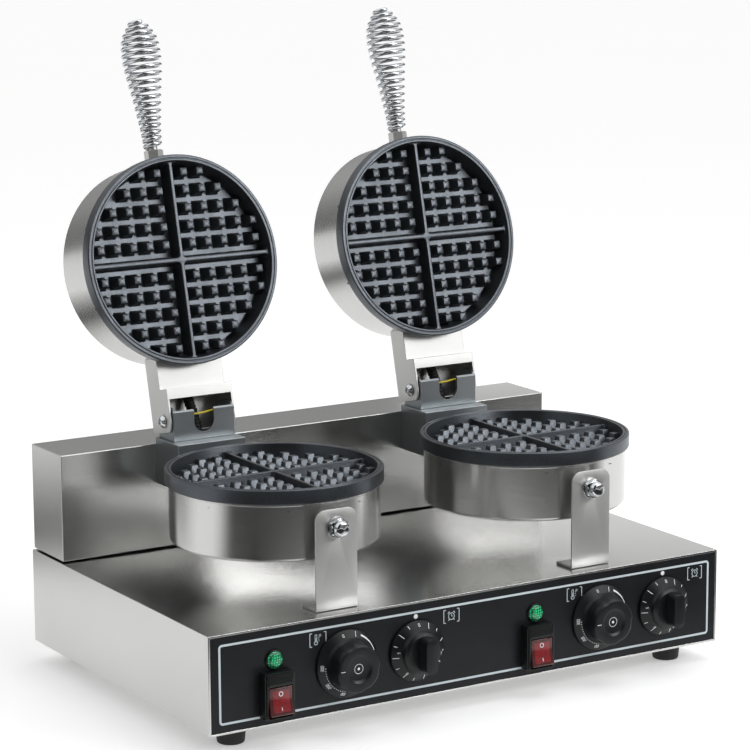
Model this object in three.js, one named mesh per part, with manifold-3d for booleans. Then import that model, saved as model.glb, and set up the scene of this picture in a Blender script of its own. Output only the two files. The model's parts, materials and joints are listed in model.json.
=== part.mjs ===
// Double round waffle baker, countertop type, with both lids open.
// Millimetres, +Z up, -Y towards the user. The origin is on the worktop, under the middle of the
// whole machine's bounding box.

import * as THREE from 'three';
import { mergeVertices } from 'three/addons/utils/BufferGeometryUtils.js';
import Module from 'manifold-3d';

const wasm = await Module();
wasm.setup();

// ---------------------------------------------------------------- driving dimensions

const GAP = 0.3;                 // clearance between touching pieces
const WALL_BOW = 1.6;            // a nut's clearance behind a pan's curved wall
const PAN_FACETS = 24;           // facets round a pan
const KNOB_FACETS = 20;          // facets round a knob or foot
const HOLE_FACETS = 12;          // facets round a bolt or a small hole
const SHEET = 1.5;               // stainless casing sheet
const BRACKET_SHEET = 2;         // hinge and bracket sheet

const BASE = { width: 550, depth: 354, height: 90 };
const FOOT = { height: 18, topRadius: 14, bottomRadius: 12.3, insetX: 37, insetY: 30 };
const HOUSING = { width: 546, depth: 64, bottom: 91.5, top: 193.5 };
const PANEL = { border: 2, pocket: 1.3, thickness: 1 };
const UNIT_X = 137.5;            // each baking unit's centre, left and right of the middle

const PAN_Y = 124.5;             // pan axis, behind the base's front face
const PAN = { rimRadius: 100, shellRadius: 96.5, rimHeight: 13.25, depth: 66, rimTop: 199.7 };
const GRID = { floorDepth: 20, wallTop: 94, wallBottom: 90, plateBottom: 30, seatRadius: 88 };
const RIB = { depth: 4.7, topWidth: 3.7, bottomWidth: 7 };
const PEG = { depth: 6, top: 7, base: 11, pitch: 17.1, firstX: 14.1, firstY: 15.2, count: 5, reach: 86 };
const ELEMENT = { radius: 62, tube: 4, sweep: 300 };

const PIVOT = { y: 274.5, z: 217.5 };
const LID_OPEN = 103.45;         // degrees from closed to the rest position
const CLOSED_RIM_GAP = 0.4;      // between the two rims with the lid down

const HINGE_BOX = { half: 36, front: 243, bottom: 155, top: 200, shoulder: 184 };
const CLEVIS = { half: 32.3, front: 258.5, back: 289, frontTop: 228, sideTop: 232, notchRadius: 10.5 };
const ARM = { half: 34.75, top: 24, step: 30, proud: 14, window: 20, rear: 11 };
const BOLT = { shank: 3, head: 6.5, headHeight: 4.5, nut: 5, nutThickness: 3 };
const CONDUIT_RADIUS = 5;
const CONDUIT_ENTRY_Z = 16.5;    // where it enters the lid shell, above the pivot with the lid down

const FRONT_BRACKET = { width: 42.5, front: 14.6, top: 182, corner: 10, foot: 25, studZ: 165.5 };
const STUD = { radius: 4, hexAcross: 17, hexHeight: 7, dome: 7 };
const HANDLE = { aboveRim: 36, hexAcross: 16, hexHeight: 12, boss: 4.2, bossLength: 20 };
const SPRING = { length: 125, wire: 2.4, turns: 18.5, stepsPerTurn: 10, endPitch: 4.95 };
const SPRING_RADII = [10, 10.8, 12.6, 14.5, 16.9, 19.1, 19.8, 17.8, 9.6];

const KNOB_Z = 45;
const TEMP_KNOB = { skirt: 31, boss: 23, face: 21.5, height: 24, dimple: 12.5 };
const TIMER_KNOB = { skirt: 28, boss: 19, barWidth: 12, barLength: 32, height: 28 };
const TIMER_X = 73;
const SWITCH = { x: -73, z: 29.5, width: 30, height: 42, proud: 10.5, cavityWidth: 24, cavityHeight: 28.6 };
const ROCKER = { width: 23, half: 13, back: 5, end: 6.5, middle: 4.2, tilt: 9, pivotY: -7.5, drop: 5 };
const LAMP = { x: -73, z: 60, radius: 8.8, body: 6.8, proud: 5 };
const SPINDLE = { radius: 3, front: -16, back: 12 };
const BUSHING_RADIUS = 5;
const GLAND = { x: 190, z: 45, bore: 4.5, thread: 8, hex: 12, reach: 16 };

const FRONT_REACH = -28;         // timer bars, the foremost point
const REAR_REACH = 394.7;        // handles, the rearmost point with the lids open
const MIDDLE_Y = (FRONT_REACH + REAR_REACH) / 2;

// ---------------------------------------------------------------- materials

const metal = (colour, roughness) => () => (
  new THREE.MeshStandardMaterial({ color: colour, roughness, metalness: 1 })
);
const plastic = (colour, roughness) => () => (
  new THREE.MeshStandardMaterial({ color: colour, roughness, metalness: 0 })
);

const STAINLESS = metal(0x9a9a98, 0.35);
const BRIGHT_SHEET = metal(0xc9c8c4, 0.4);
const CAST_PLATE = metal(0x3c4148, 0.5);
const CHROME = metal(0xd8d9dc, 0.12);
const ELEMENT_METAL = metal(0x5a5652, 0.55);
const PANEL_BLACK = plastic(0x1f2224, 0.45);
const KNOB_BLACK = plastic(0x17191b, 0.38);
const BODY_PLASTIC = plastic(0x2b2b2d, 0.5);
const WHITE_CERAMIC = plastic(0xe6e1d6, 0.6);
const RUBBER = plastic(0x101112, 0.8);
const ROCKER_RED = plastic(0x8e1414, 0.25);
const LAMP_GREEN = plastic(0x1d8a52, 0.2);
const SLEEVE = plastic(0x26262a, 0.75);

// ---------------------------------------------------------------- shapes

function signedVolume(geometry) {
  const position = geometry.attributes.position;
  const index = geometry.index.array;
  const corner = [new THREE.Vector3(), new THREE.Vector3(), new THREE.Vector3()];
  let total = 0;
  for (let i = 0; i < index.length; i += 3) {
    corner.forEach((point, k) => point.fromBufferAttribute(position, index[i + k]));
    total += corner[0].dot(corner[1].clone().cross(corner[2]));
  }
  return total / 6;
}

// A manifold solid from a closed geometry, with its faces turned outward.
function solid(geometry) {
  const bare = geometry.clone();
  ['normal', 'uv'].forEach((name) => bare.deleteAttribute(name));
  const merged = mergeVertices(bare, 1e-4);
  const triangles = Uint32Array.from(merged.index.array);
  if (signedVolume(merged) < 0) {
    for (let i = 0; i < triangles.length; i += 3) {
      [triangles[i], triangles[i + 1]] = [triangles[i + 1], triangles[i]];
    }
  }
  const mesh = new wasm.Mesh({
    numProp: 3,
    vertProperties: Float32Array.from(merged.attributes.position.array),
    triVerts: triangles,
  });
  return new wasm.Manifold(mesh);
}

function geometryOf(manifold) {
  const mesh = manifold.getMesh();
  const geometry = new THREE.BufferGeometry();
  geometry.setAttribute('position', new THREE.BufferAttribute(mesh.vertProperties, 3));
  geometry.setIndex(new THREE.BufferAttribute(mesh.triVerts, 1));
  geometry.computeVertexNormals();
  return geometry;
}

const join = (...parts) => parts.reduce((all, part) => all.add(part));
const cut = (body, ...tools) => tools.reduce((rest, tool) => rest.subtract(tool), body);

function block([x0, x1], [y0, y1], [z0, z1]) {
  const geometry = new THREE.BoxGeometry(x1 - x0, y1 - y0, z1 - z0);
  return solid(geometry.translate((x0 + x1) / 2, (y0 + y1) / 2, (z0 + z1) / 2));
}

// Turned about +Z from a profile of [radius, height] points.
function turned(profile, segments) {
  const points = profile.map(([radius, height]) => new THREE.Vector2(radius, height));
  return new THREE.LatheGeometry(points, segments).rotateX(Math.PI / 2);
}

// A rod from start to end along one axis, through the point `at`.
function rod(axis, radius, start, end, at, segments = HOLE_FACETS) {
  const geometry = new THREE.CylinderGeometry(radius, radius, end - start, segments);
  geometry.translate(0, (start + end) / 2, 0);
  if (axis === 'x') geometry.rotateZ(-Math.PI / 2);
  if (axis === 'z') geometry.rotateX(Math.PI / 2);
  return solid(geometry.translate(...at));
}

function hexagon(across, start, end) {
  const radius = across / Math.sqrt(3);
  const geometry = new THREE.CylinderGeometry(radius, radius, end - start, 6);
  return geometry.translate(0, (start + end) / 2, 0);
}

function polygon(points) {
  return new THREE.Shape(points.map(([x, y]) => new THREE.Vector2(x, y)));
}

function extruded(shape, depth, curveSegments = 5) {
  return new THREE.ExtrudeGeometry(shape, { depth, bevelEnabled: false, curveSegments });
}

// A shape drawn in (x, z) and extruded along Y.
function slabAlongY(shape, y0, y1) {
  return solid(extruded(shape, y1 - y0).rotateX(Math.PI / 2).translate(0, y1, 0));
}

// A shape drawn in (y, z) and extruded along X.
function slabAlongX(shape, x0, x1) {
  const turn = new THREE.Matrix4().makeBasis(
    new THREE.Vector3(0, 1, 0),
    new THREE.Vector3(0, 0, 1),
    new THREE.Vector3(1, 0, 0),
  );
  return solid(extruded(shape, x1 - x0).applyMatrix4(turn).translate(x0, 0, 0));
}

function tubeAlong(points, radius, sides, steps) {
  const path = new THREE.CatmullRomCurve3(points.map((point) => new THREE.Vector3(...point)));
  const section = polygon(Array.from({ length: sides }, (_, i) => {
    const angle = (2 * Math.PI * i) / sides;
    return [radius * Math.cos(angle), radius * Math.sin(angle)];
  }));
  return solid(new THREE.ExtrudeGeometry(section, { steps, bevelEnabled: false, extrudePath: path }));
}

// Turns something built pointing up so that it points at the user, along -Y.
const facingUser = (geometry) => geometry.rotateX(Math.PI / 2);

function addPart(parent, name, body, material, position = [0, 0, 0]) {
  const mesh = new THREE.Mesh(geometryOf(body), material());
  mesh.name = name;
  mesh.position.set(...position);
  parent.add(mesh);
  return mesh;
}

// ---------------------------------------------------------------- base, housing and feet

const unitCentres = [-UNIT_X, UNIT_X];

// The holes that the front needs for one unit's lamp, switch and two spindles.
function frontHoles(unitX) {
  const halfWidth = SWITCH.width / 2 - 2;
  const halfHeight = SWITCH.height / 2 - 2;
  const switchX = unitX + SWITCH.x;
  return [
    rod('y', LAMP.body + GAP, -5, 10, [unitX + LAMP.x, 0, LAMP.z]),
    rod('y', BUSHING_RADIUS + GAP, -5, 10, [unitX, 0, KNOB_Z]),
    rod('y', BUSHING_RADIUS + GAP, -5, 10, [unitX + TIMER_X, 0, KNOB_Z]),
    block(
      [switchX - halfWidth, switchX + halfWidth],
      [-5, 10],
      [SWITCH.z - halfHeight, SWITCH.z + halfHeight],
    ),
  ];
}

function baseCasing() {
  const half = BASE.width / 2;
  const frontWall = PANEL.pocket + SHEET;
  const outside = block([-half, half], [0, BASE.depth], [0, BASE.height]);
  const inside = block(
    [SHEET - half, half - SHEET],
    [frontWall, BASE.depth - SHEET],
    [-1, BASE.height - SHEET],
  );
  const pocket = block(
    [PANEL.border - half, half - PANEL.border],
    [-1, PANEL.pocket],
    [PANEL.border, BASE.height - PANEL.border],
  );
  const glandHole = rod('y', GLAND.thread + GAP, 340, 360, [GLAND.x, 0, GLAND.z]);
  const wireHoles = unitCentres.map((x) => rod('z', 12, 80, 95, [x, 322, 0]));
  return cut(outside, inside, pocket, glandHole, ...wireHoles, ...unitCentres.flatMap(frontHoles));
}

function controlPanel() {
  const half = BASE.width / 2 - PANEL.border - GAP;
  const margin = PANEL.border + GAP;
  const sheet = block([-half, half], [0, PANEL.thickness], [margin, BASE.height - margin]);
  return cut(sheet, ...unitCentres.flatMap(frontHoles));
}

function baseFloor() {
  const halfX = BASE.width / 2 - SHEET - GAP;
  const front = PANEL.pocket + SHEET + GAP;
  const back = BASE.depth - SHEET - GAP;
  const sheet = block([-halfX, halfX], [front, back], [0.2, 0.2 + SHEET]);
  const slots = unitCentres.flatMap((x) => [-2, -1, 0, 1, 2].map((row) => (
    block([x - 40, x + 40], [170 + 16 * row, 176 + 16 * row], [-1, 4])
  )));
  return cut(sheet, ...slots);
}

function backHousing() {
  const half = HOUSING.width / 2;
  const front = BASE.depth - HOUSING.depth;
  const outside = block([-half, half], [front, BASE.depth], [HOUSING.bottom, HOUSING.top]);
  const inside = block(
    [SHEET - half, half - SHEET],
    [front + SHEET, BASE.depth - SHEET],
    [HOUSING.bottom - 1, HOUSING.top - SHEET],
  );
  const wireHoles = unitCentres.map((x) => rod('y', CONDUIT_RADIUS + 2, front - 2, front + 4, [x, 0, 172]));
  return cut(outside, inside, ...wireHoles);
}

function foot() {
  return solid(turned([
    [0, -FOOT.height],
    [FOOT.bottomRadius - 1, -FOOT.height],
    [FOOT.bottomRadius, 1 - FOOT.height],
    [FOOT.topRadius, -0.1],
    [0, -0.1],
  ], KNOB_FACETS));
}

function cableGland() {
  const back = BASE.depth;
  const nut = solid(hexagon(2 * GLAND.hex * 0.87, back + GAP, back + 6));
  const dome = solid(turned([
    [0, 5.9],
    [GLAND.hex - 2, 5.9],
    [GLAND.hex - 2, 11],
    [GLAND.bore + 2, GLAND.reach],
    [0, GLAND.reach],
  ], HOLE_FACETS).rotateX(-Math.PI / 2).translate(0, back, 0));
  const thread = rod('y', GLAND.thread, back - 12, back + 1, [0, 0, 0]);
  const lockNut = solid(hexagon(2 * GLAND.hex * 0.87, back - 7, back - SHEET - GAP));
  const bore = rod('y', GLAND.bore, back - 20, back + 30, [0, 0, 0]);
  return cut(join(nut, dome, thread, lockNut), bore);
}

function terminalBlock() {
  const body = block([-34, 34], [-11, 11], [0, 16]);
  const wells = [-2, -1, 0, 1, 2].map((i) => block([i * 13 - 3, i * 13 + 3], [-4, 4], [9, 20]));
  return cut(body, ...wells);
}

// ---------------------------------------------------------------- pans

// One grid plate, with its rim plane at z = 0 and the grid below it.
function gridPlate() {
  const body = solid(turned([
    [0, -GRID.floorDepth],
    [GRID.wallBottom, -GRID.floorDepth],
    [GRID.wallTop, 0],
    [PAN.rimRadius, 0],
    [PAN.rimRadius, -PAN.rimHeight],
    [GRID.wallTop, -PAN.rimHeight],
    [GRID.seatRadius, -GRID.plateBottom],
    [0, -GRID.plateBottom],
  ], PAN_FACETS));

  const ribHeight = GRID.floorDepth - RIB.depth + 1;
  const ribSection = (across) => polygon([
    [-across.bottom, -ribHeight],
    [across.bottom, -ribHeight],
    [across.top, 0],
    [-across.top, 0],
  ]);
  const section = ribSection({ top: RIB.topWidth / 2, bottom: RIB.bottomWidth / 2 });
  const ribAlongY = slabAlongY(section, -GRID.wallTop + 1, GRID.wallTop - 1).translate([0, 0, -RIB.depth]);
  const ribAlongX = slabAlongX(section, -GRID.wallTop + 1, GRID.wallTop - 1).translate([0, 0, -RIB.depth]);
  const ribs = ribAlongY.add(ribAlongX).intersect(
    rod('z', GRID.wallTop - 2, -GRID.plateBottom, 0, [0, 0, 0], PAN_FACETS),
  );

  const pegHeight = GRID.floorDepth - PEG.depth + 1;
  const peg = new THREE.CylinderGeometry(PEG.top / Math.SQRT2, PEG.base / Math.SQRT2, pegHeight, 4)
    .rotateY(Math.PI / 4)
    .rotateX(Math.PI / 2)
    .translate(0, 0, pegHeight / 2 - GRID.floorDepth - 1);
  const pegSolid = solid(peg);
  const pegs = [];
  for (let i = 0; i < PEG.count; i += 1) {
    for (let j = 0; j < PEG.count; j += 1) {
      const x = PEG.firstX + i * PEG.pitch;
      const y = PEG.firstY + j * PEG.pitch;
      if (Math.hypot(x, y) < PEG.reach) {
        const corners = [[x, y], [-x, y], [x, -y], [-x, -y]];
        pegs.push(...corners.map(([pegX, pegY]) => pegSolid.translate([pegX, pegY, 0])));
      }
    }
  }
  return join(body, ribs, ...pegs);
}

// The steel shell behind a grid plate, with its rim plane at z = 0.
function panShell() {
  const outer = PAN.shellRadius;
  const corner = 3;
  const top = -PAN.rimHeight - GAP;
  return solid(turned([
    [0, -PAN.depth],
    [outer - corner, -PAN.depth],
    [outer, corner - PAN.depth],
    [outer, top],
    [outer - SHEET, top],
    [outer - SHEET, SHEET - PAN.depth + 1],
    [0, SHEET - PAN.depth],
  ], PAN_FACETS));
}

// The heating element, clamped under the plate. Its ends turn down as terminals.
function heatingElement() {
  const depth = GRID.plateBottom + 3 * GAP + ELEMENT.tube;
  const startAngle = THREE.MathUtils.degToRad((360 - ELEMENT.sweep) / 2);
  const points = [];
  for (let i = 0; i <= 12; i += 1) {
    const angle = startAngle + (i / 12) * THREE.MathUtils.degToRad(ELEMENT.sweep);
    points.push([ELEMENT.radius * Math.sin(angle), ELEMENT.radius * Math.cos(angle), -depth]);
  }
  const ends = [points[0], points[points.length - 1]];
  const [first, last] = ends.map(([x, y]) => [
    [x * 0.9, y * 1.12, -depth - 3],
    [x * 0.8, y * 1.22, -depth - 14],
  ]);
  return tubeAlong([...first.reverse(), ...points, ...last], ELEMENT.tube, 5, 22);
}

// ---------------------------------------------------------------- fixed side of each unit

function frontBracket() {
  const half = FRONT_BRACKET.width / 2;
  const bottom = BASE.height + GAP;
  const outline = new THREE.Shape();
  outline.moveTo(-half, bottom);
  outline.lineTo(half, bottom);
  outline.lineTo(half, FRONT_BRACKET.top - FRONT_BRACKET.corner);
  outline.absarc(
    half - FRONT_BRACKET.corner, FRONT_BRACKET.top - FRONT_BRACKET.corner,
    FRONT_BRACKET.corner, 0, Math.PI / 2, false,
  );
  outline.absarc(
    FRONT_BRACKET.corner - half, FRONT_BRACKET.top - FRONT_BRACKET.corner,
    FRONT_BRACKET.corner, Math.PI / 2, Math.PI, false,
  );
  const { front } = FRONT_BRACKET;
  const upright = slabAlongY(outline, front, front + BRACKET_SHEET);
  const foot = block([-half, half], [front, front + FRONT_BRACKET.foot], [bottom, bottom + BRACKET_SHEET]);
  const hole = rod('y', STUD.radius + GAP, front - 2, front + 5, [0, 0, FRONT_BRACKET.studZ]);
  return cut(join(upright, foot), hole);
}

// Dome nut on its stud, which holds the pan to the front bracket.
function frontStud() {
  const face = FRONT_BRACKET.front - GAP;
  const shellFront = PAN_Y - PAN.shellRadius;
  const nut = solid(hexagon(STUD.hexAcross, face - STUD.hexHeight, face));
  const dome = solid(facingUser(turned([
    [0, STUD.hexHeight - 1],
    [7.6, STUD.hexHeight - 1],
    [5.6, STUD.hexHeight + 5],
    [0, STUD.hexHeight + STUD.dome],
  ], HOLE_FACETS)).translate(0, face, 0));
  const shank = rod('y', STUD.radius, face - 2, shellFront + 7.8, [0, 0, 0]);
  const innerNut = rod('y', 6.5, shellFront + SHEET + WALL_BOW, shellFront + 6.8, [0, 0, 0], 6);
  return join(nut, dome, shank, innerNut);
}

// The lower shell carries a welded boss that spaces it from its front bracket.
function lowerShell() {
  const studDepth = FRONT_BRACKET.studZ - PAN.rimTop;
  const bossFront = FRONT_BRACKET.front + BRACKET_SHEET + GAP - PAN_Y;
  const boss = rod('y', 8, bossFront, 1 - PAN.shellRadius, [0, 0, studDepth]);
  const stud = rod('y', STUD.radius + GAP, -115, -80, [0, 0, studDepth]);
  const wires = rod('y', 7, 80, 110, [0, 0, 172 - PAN.rimTop]);
  return cut(join(panShell(), boss), stud, wires);
}

function hingeBox() {
  const { half, front, bottom, top, shoulder } = HINGE_BOX;
  const sheet = BRACKET_SHEET;
  const back = BASE.depth - HOUSING.depth - GAP;
  const outline = polygon([
    [205, bottom],
    [back, bottom],
    [back, top],
    [front, top],
    [front, shoulder],
    [205, shoulder],
  ]);
  const hollow = polygon([
    [200, bottom - 2],
    [back + 2, bottom - 2],
    [back + 2, top - sheet],
    [front + sheet, top - sheet],
    [front + sheet, shoulder - sheet],
    [200, shoulder - sheet],
  ]);
  return cut(
    slabAlongX(outline, -half, half),
    slabAlongX(hollow, sheet - half, half - sheet),
    rod('z', PAN.shellRadius + GAP, 140, 210, [0, PAN_Y, 0], PAN_FACETS),
    rod('z', CONDUIT_RADIUS + 3, top - 6, top + 6, [0, PIVOT.y - 2, 0]),
  );
}

function hingeClevis() {
  const { half, front, back, frontTop, sideTop, notchRadius } = CLEVIS;
  const sheet = BRACKET_SHEET;
  const bottom = HINGE_BOX.top + GAP;
  const side = new THREE.Shape();
  side.moveTo(front, bottom);
  side.lineTo(back, bottom);
  side.lineTo(back, PIVOT.z);
  side.absarc(back - 14.5, PIVOT.z, 14.5, 0, Math.PI / 2, false);
  side.lineTo(front + 6, sideTop);
  side.lineTo(front, frontTop);
  const notchBottom = 207 + notchRadius;
  const notch = new THREE.Shape();
  notch.moveTo(notchRadius, sideTop + 5);
  notch.lineTo(-notchRadius, sideTop + 5);
  notch.lineTo(-notchRadius, notchBottom);
  notch.absarc(0, notchBottom, notchRadius, Math.PI, 2 * Math.PI, false);
  const inside = block([sheet - half, half - sheet], [front + sheet, back + 2], [bottom + sheet, 240]);
  return cut(
    slabAlongX(side, -half, half),
    inside,
    slabAlongY(notch, front - 2, front + 5),
    rod('x', BOLT.shank + GAP, -half - 2, half + 2, [0, PIVOT.y, PIVOT.z]),
    rod('z', CONDUIT_RADIUS + 3, bottom - 2, bottom + 5, [0, PIVOT.y - 2, 0]),
  );
}

// A pivot bolt on the +X side, with its nut inside the clevis.
function pivotBolt() {
  const head = ARM.half + GAP;
  const nutOuter = CLEVIS.half - BRACKET_SHEET - GAP;
  const nutInner = nutOuter - BOLT.nutThickness;
  return solid(turned([
    [0, nutInner - 2],
    [BOLT.shank, nutInner - 2],
    [BOLT.shank, nutInner],
    [BOLT.nut, nutInner],
    [BOLT.nut, nutOuter],
    [BOLT.shank, nutOuter],
    [BOLT.shank, head],
    [BOLT.head, head],
    [BOLT.head - 2, head + BOLT.headHeight - 0.6],
    [0, head + BOLT.headHeight],
  ], HOLE_FACETS).rotateY(Math.PI / 2));
}

// Flexible wire conduit, from the housing up through the clevis into the open lid.
function wireConduit() {
  return tubeAlong([
    [0, 24, -45.5],
    [0, 10, -44],
    [0, 0, -35],
    [0, -2, -22],
    [0, 0, -8],
    [0, 8, 5],
    [0, 18, 18],
    [0, 25, 35],
    [0, 30, 53],
  ], CONDUIT_RADIUS, 6, 14);
}

// ---------------------------------------------------------------- lid, drawn closed about its pivot

const LID_RIM_Z = PAN.rimTop + CLOSED_RIM_GAP - PIVOT.z;
const LID_PAN_Y = PAN_Y - PIVOT.y;
const HANDLE_Z = LID_RIM_Z + HANDLE.aboveRim;
const LID_FRONT_Y = LID_PAN_Y - PAN.shellRadius;

function lidShell() {
  const handleHole = rod('y', 5 + GAP, 80, 110, [0, 0, -HANDLE.aboveRim]);
  const wireHole = rod('y', CONDUIT_RADIUS + 2, -110, -80, [0, 0, LID_RIM_Z - CONDUIT_ENTRY_Z]);
  return cut(panShell(), handleHole, wireHole);
}

function lidArm() {
  const { half, top, step, proud, rear } = ARM;
  const sheet = BRACKET_SHEET;
  const outline = new THREE.Shape();
  outline.moveTo(-70, 0);
  outline.lineTo(-step, 0);
  outline.lineTo(-step, -proud);
  outline.lineTo(0, -proud);
  outline.absarc(0, 0, proud, -Math.PI / 2, -Math.acos(rear / proud), false);
  outline.lineTo(rear, top);
  outline.lineTo(-70, top);
  const hollow = polygon([
    [-75, sheet],
    [sheet - step, sheet],
    [sheet - step, sheet - proud],
    [rear + 2, sheet - proud],
    [rear + 2, top - sheet],
    [-75, top - sheet],
  ]);
  return cut(
    slabAlongX(outline, -half, half),
    slabAlongX(hollow, sheet - half, half - sheet),
    block([sheet - half, half - sheet], [-ARM.window, rear + 2], [-proud - 2, 0]),
    rod('z', PAN.shellRadius + GAP, -20, 40, [0, LID_PAN_Y, 0], PAN_FACETS),
    rod('x', BOLT.shank + GAP, -half - 2, half + 2, [0, 0, 0]),
  );
}

// The stud that carries the handle: an inner nut, a hexagon outside the shell and a boss.
function handleStud() {
  const hexStart = LID_FRONT_Y - GAP;
  const hexEnd = hexStart - HANDLE.hexHeight;
  const hex = solid(hexagon(HANDLE.hexAcross, hexEnd, hexStart));
  const boss = rod('y', HANDLE.boss, hexEnd - HANDLE.bossLength, hexEnd + 1, [0, 0, 0]);
  const shank = rod('y', 5, hexStart - 1, LID_FRONT_Y + 12, [0, 0, 0]);
  const innerNut = rod('y', 8, LID_FRONT_Y + SHEET + WALL_BOW, LID_FRONT_Y + 6.8, [0, 0, 0], 6);
  return join(hex, boss, shank, innerNut).translate([0, 0, HANDLE_Z]);
}

// The handle's centreline: a coil that swells and narrows, with its turns close together at the ends.
class HandleCoil extends THREE.Curve {
  constructor() {
    super();
    const last = SPRING_RADII.length - 1;
    this.swell = new THREE.SplineCurve(
      SPRING_RADII.map((radius, i) => new THREE.Vector2(i / last, radius)),
    );
  }

  getPoint(t, target = new THREE.Vector3()) {
    const { length, wire, turns, endPitch } = SPRING;
    const span = length - 2 * wire;
    const closeTurns = turns * endPitch * t;
    const opening = (span - turns * endPitch) * (1 - Math.cos(Math.PI * t)) / 2;
    const along = closeTurns + opening;
    const radius = this.swell.getPoint(along / span).y - wire;
    const angle = 2 * Math.PI * turns * t + Math.PI / 2;
    return target.set(radius * Math.cos(angle), -along, radius * Math.sin(angle));
  }

  // Steps are even in angle, so that neighbouring turns stay parallel.
  getUtoTmapping(u) {
    return u;
  }
}

function handleSpring() {
  const { wire, turns, stepsPerTurn } = SPRING;
  const section = polygon([0, 1, 2].map((i) => {
    const angle = (2 * Math.PI * i) / 3;
    return [wire * Math.cos(angle), wire * Math.sin(angle)];
  }));
  const coil = new THREE.ExtrudeGeometry(section, {
    steps: Math.round(turns * stepsPerTurn),
    bevelEnabled: false,
    extrudePath: new HandleCoil(),
  });
  const start = LID_FRONT_Y - 2 * GAP - HANDLE.hexHeight - wire;
  return solid(coil).translate([0, start, HANDLE_Z]);
}

// ---------------------------------------------------------------- controls

function temperatureKnob() {
  const { skirt, boss, face, height, dimple } = TEMP_KNOB;
  return solid(facingUser(turned([
    [0, 17],
    [SPINDLE.radius + GAP, 17],
    [SPINDLE.radius + GAP, 0.8],
    [skirt, 0.8],
    [skirt, 3],
    [boss + 1.5, 6.5],
    [boss, 8],
    [face, height - 1],
    [face - 1.5, height],
    [dimple, height],
    [dimple - 2, height - 2],
    [0, height - 2],
  ], KNOB_FACETS)));
}

function timerKnob() {
  const { skirt, boss, barWidth, barLength, height } = TIMER_KNOB;
  const dial = solid(facingUser(turned([
    [0, 0.8],
    [skirt, 0.8],
    [skirt, 3],
    [boss + 1, 9],
    [boss, 12],
    [boss - 3, 14],
    [0, 14],
  ], KNOB_FACETS)));
  const round = barWidth / 2;
  const straight = barLength / 2 - round;
  const bar = new THREE.Shape();
  bar.absarc(0, straight, round, 0, Math.PI, false);
  bar.absarc(0, -straight, round, Math.PI, 2 * Math.PI, false);
  const bore = rod('y', SPINDLE.radius + GAP, SPINDLE.front - 1, 5, [0, 0, 0]);
  return cut(join(dial, slabAlongY(bar, -height, -8)), bore);
}

const spindle = () => rod('y', SPINDLE.radius, SPINDLE.front, SPINDLE.back, [0, 0, 0]);

// A control body behind the front, with the threaded bushing that the spindle turns in.
function controlBody(body) {
  const bushing = rod('y', BUSHING_RADIUS, -0.5, 5, [0, 0, 0]);
  const bore = rod('y', SPINDLE.radius + GAP, -2, SPINDLE.back + 1, [0, 0, 0]);
  return cut(join(body, bushing), bore);
}

const behindFront = PANEL.pocket + SHEET + GAP;
const thermostat = () => controlBody(block([-18, 18], [behindFront, 32], [-16, 16]));
const timerMovement = () => controlBody(rod('y', 22, behindFront, 42, [0, 0, 0]));

function switchHousing() {
  const { width, height, proud, cavityWidth, cavityHeight } = SWITCH;
  const frame = block([-width / 2, width / 2], [-proud, -GAP], [-height / 2, height / 2]);
  const top = height / 2;
  const step = block([-width / 2 + 1.5, width / 2 - 1.5], [-proud - 1.5, -proud], [1.5 - top, top - 1.5]);
  const terrace = block([-width / 2 + 3, width / 2 - 3], [-proud - 2.5, -proud - 1], [11, top - 3]);
  const bodyX = width / 2 - 2 - GAP;
  const bodyZ = height / 2 - 2 - GAP;
  const body = block([-bodyX, bodyX], [-1, 27], [-bodyZ, bodyZ]);
  const cavity = block(
    [-cavityWidth / 2, cavityWidth / 2],
    [-20, 3],
    [-ROCKER.drop - cavityHeight / 2, -ROCKER.drop + cavityHeight / 2],
  );
  return cut(join(frame, step, terrace, body), cavity);
}

// The rocker turns about X. It stands with its upper half pressed in.
function rocker() {
  const { width, half, back, end, middle } = ROCKER;
  const section = polygon([
    [back, 2 - half],
    [back, half - 2],
    [-end, half],
    [-middle, 0],
    [-end, -half],
  ]);
  return slabAlongX(section, -width / 2, width / 2);
}

function indicatorLamp() {
  return solid(facingUser(turned([
    [0, -20],
    [LAMP.body, -20],
    [LAMP.body, GAP],
    [LAMP.radius, GAP],
    [LAMP.radius, 2],
    [LAMP.radius - 1.8, LAMP.proud - 0.6],
    [0, LAMP.proud],
  ], HOLE_FACETS)));
}

// ---------------------------------------------------------------- assembly

const machine = new THREE.Group();
machine.position.set(0, -MIDDLE_Y, FOOT.height);

function addBase() {
  const half = BASE.width / 2 - FOOT.insetX;
  const rearY = BASE.depth - FOOT.insetY;
  addPart(machine, 'base_casing', baseCasing(), STAINLESS);
  addPart(machine, 'control_panel', controlPanel(), PANEL_BLACK);
  addPart(machine, 'base_floor', baseFloor(), STAINLESS);
  addPart(machine, 'back_housing', backHousing(), STAINLESS);
  addPart(machine, 'foot_front_left', foot(), RUBBER, [-half, FOOT.insetY, 0]);
  addPart(machine, 'foot_front_right', foot(), RUBBER, [half, FOOT.insetY, 0]);
  addPart(machine, 'foot_rear_left', foot(), RUBBER, [-half, rearY, 0]);
  addPart(machine, 'foot_rear_right', foot(), RUBBER, [half, rearY, 0]);
  addPart(machine, 'cable_gland', cableGland(), BODY_PLASTIC, [GLAND.x, 0, GLAND.z]);
  addPart(machine, 'terminal_block', terminalBlock(), WHITE_CERAMIC, [100, 300, 3]);
}

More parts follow.
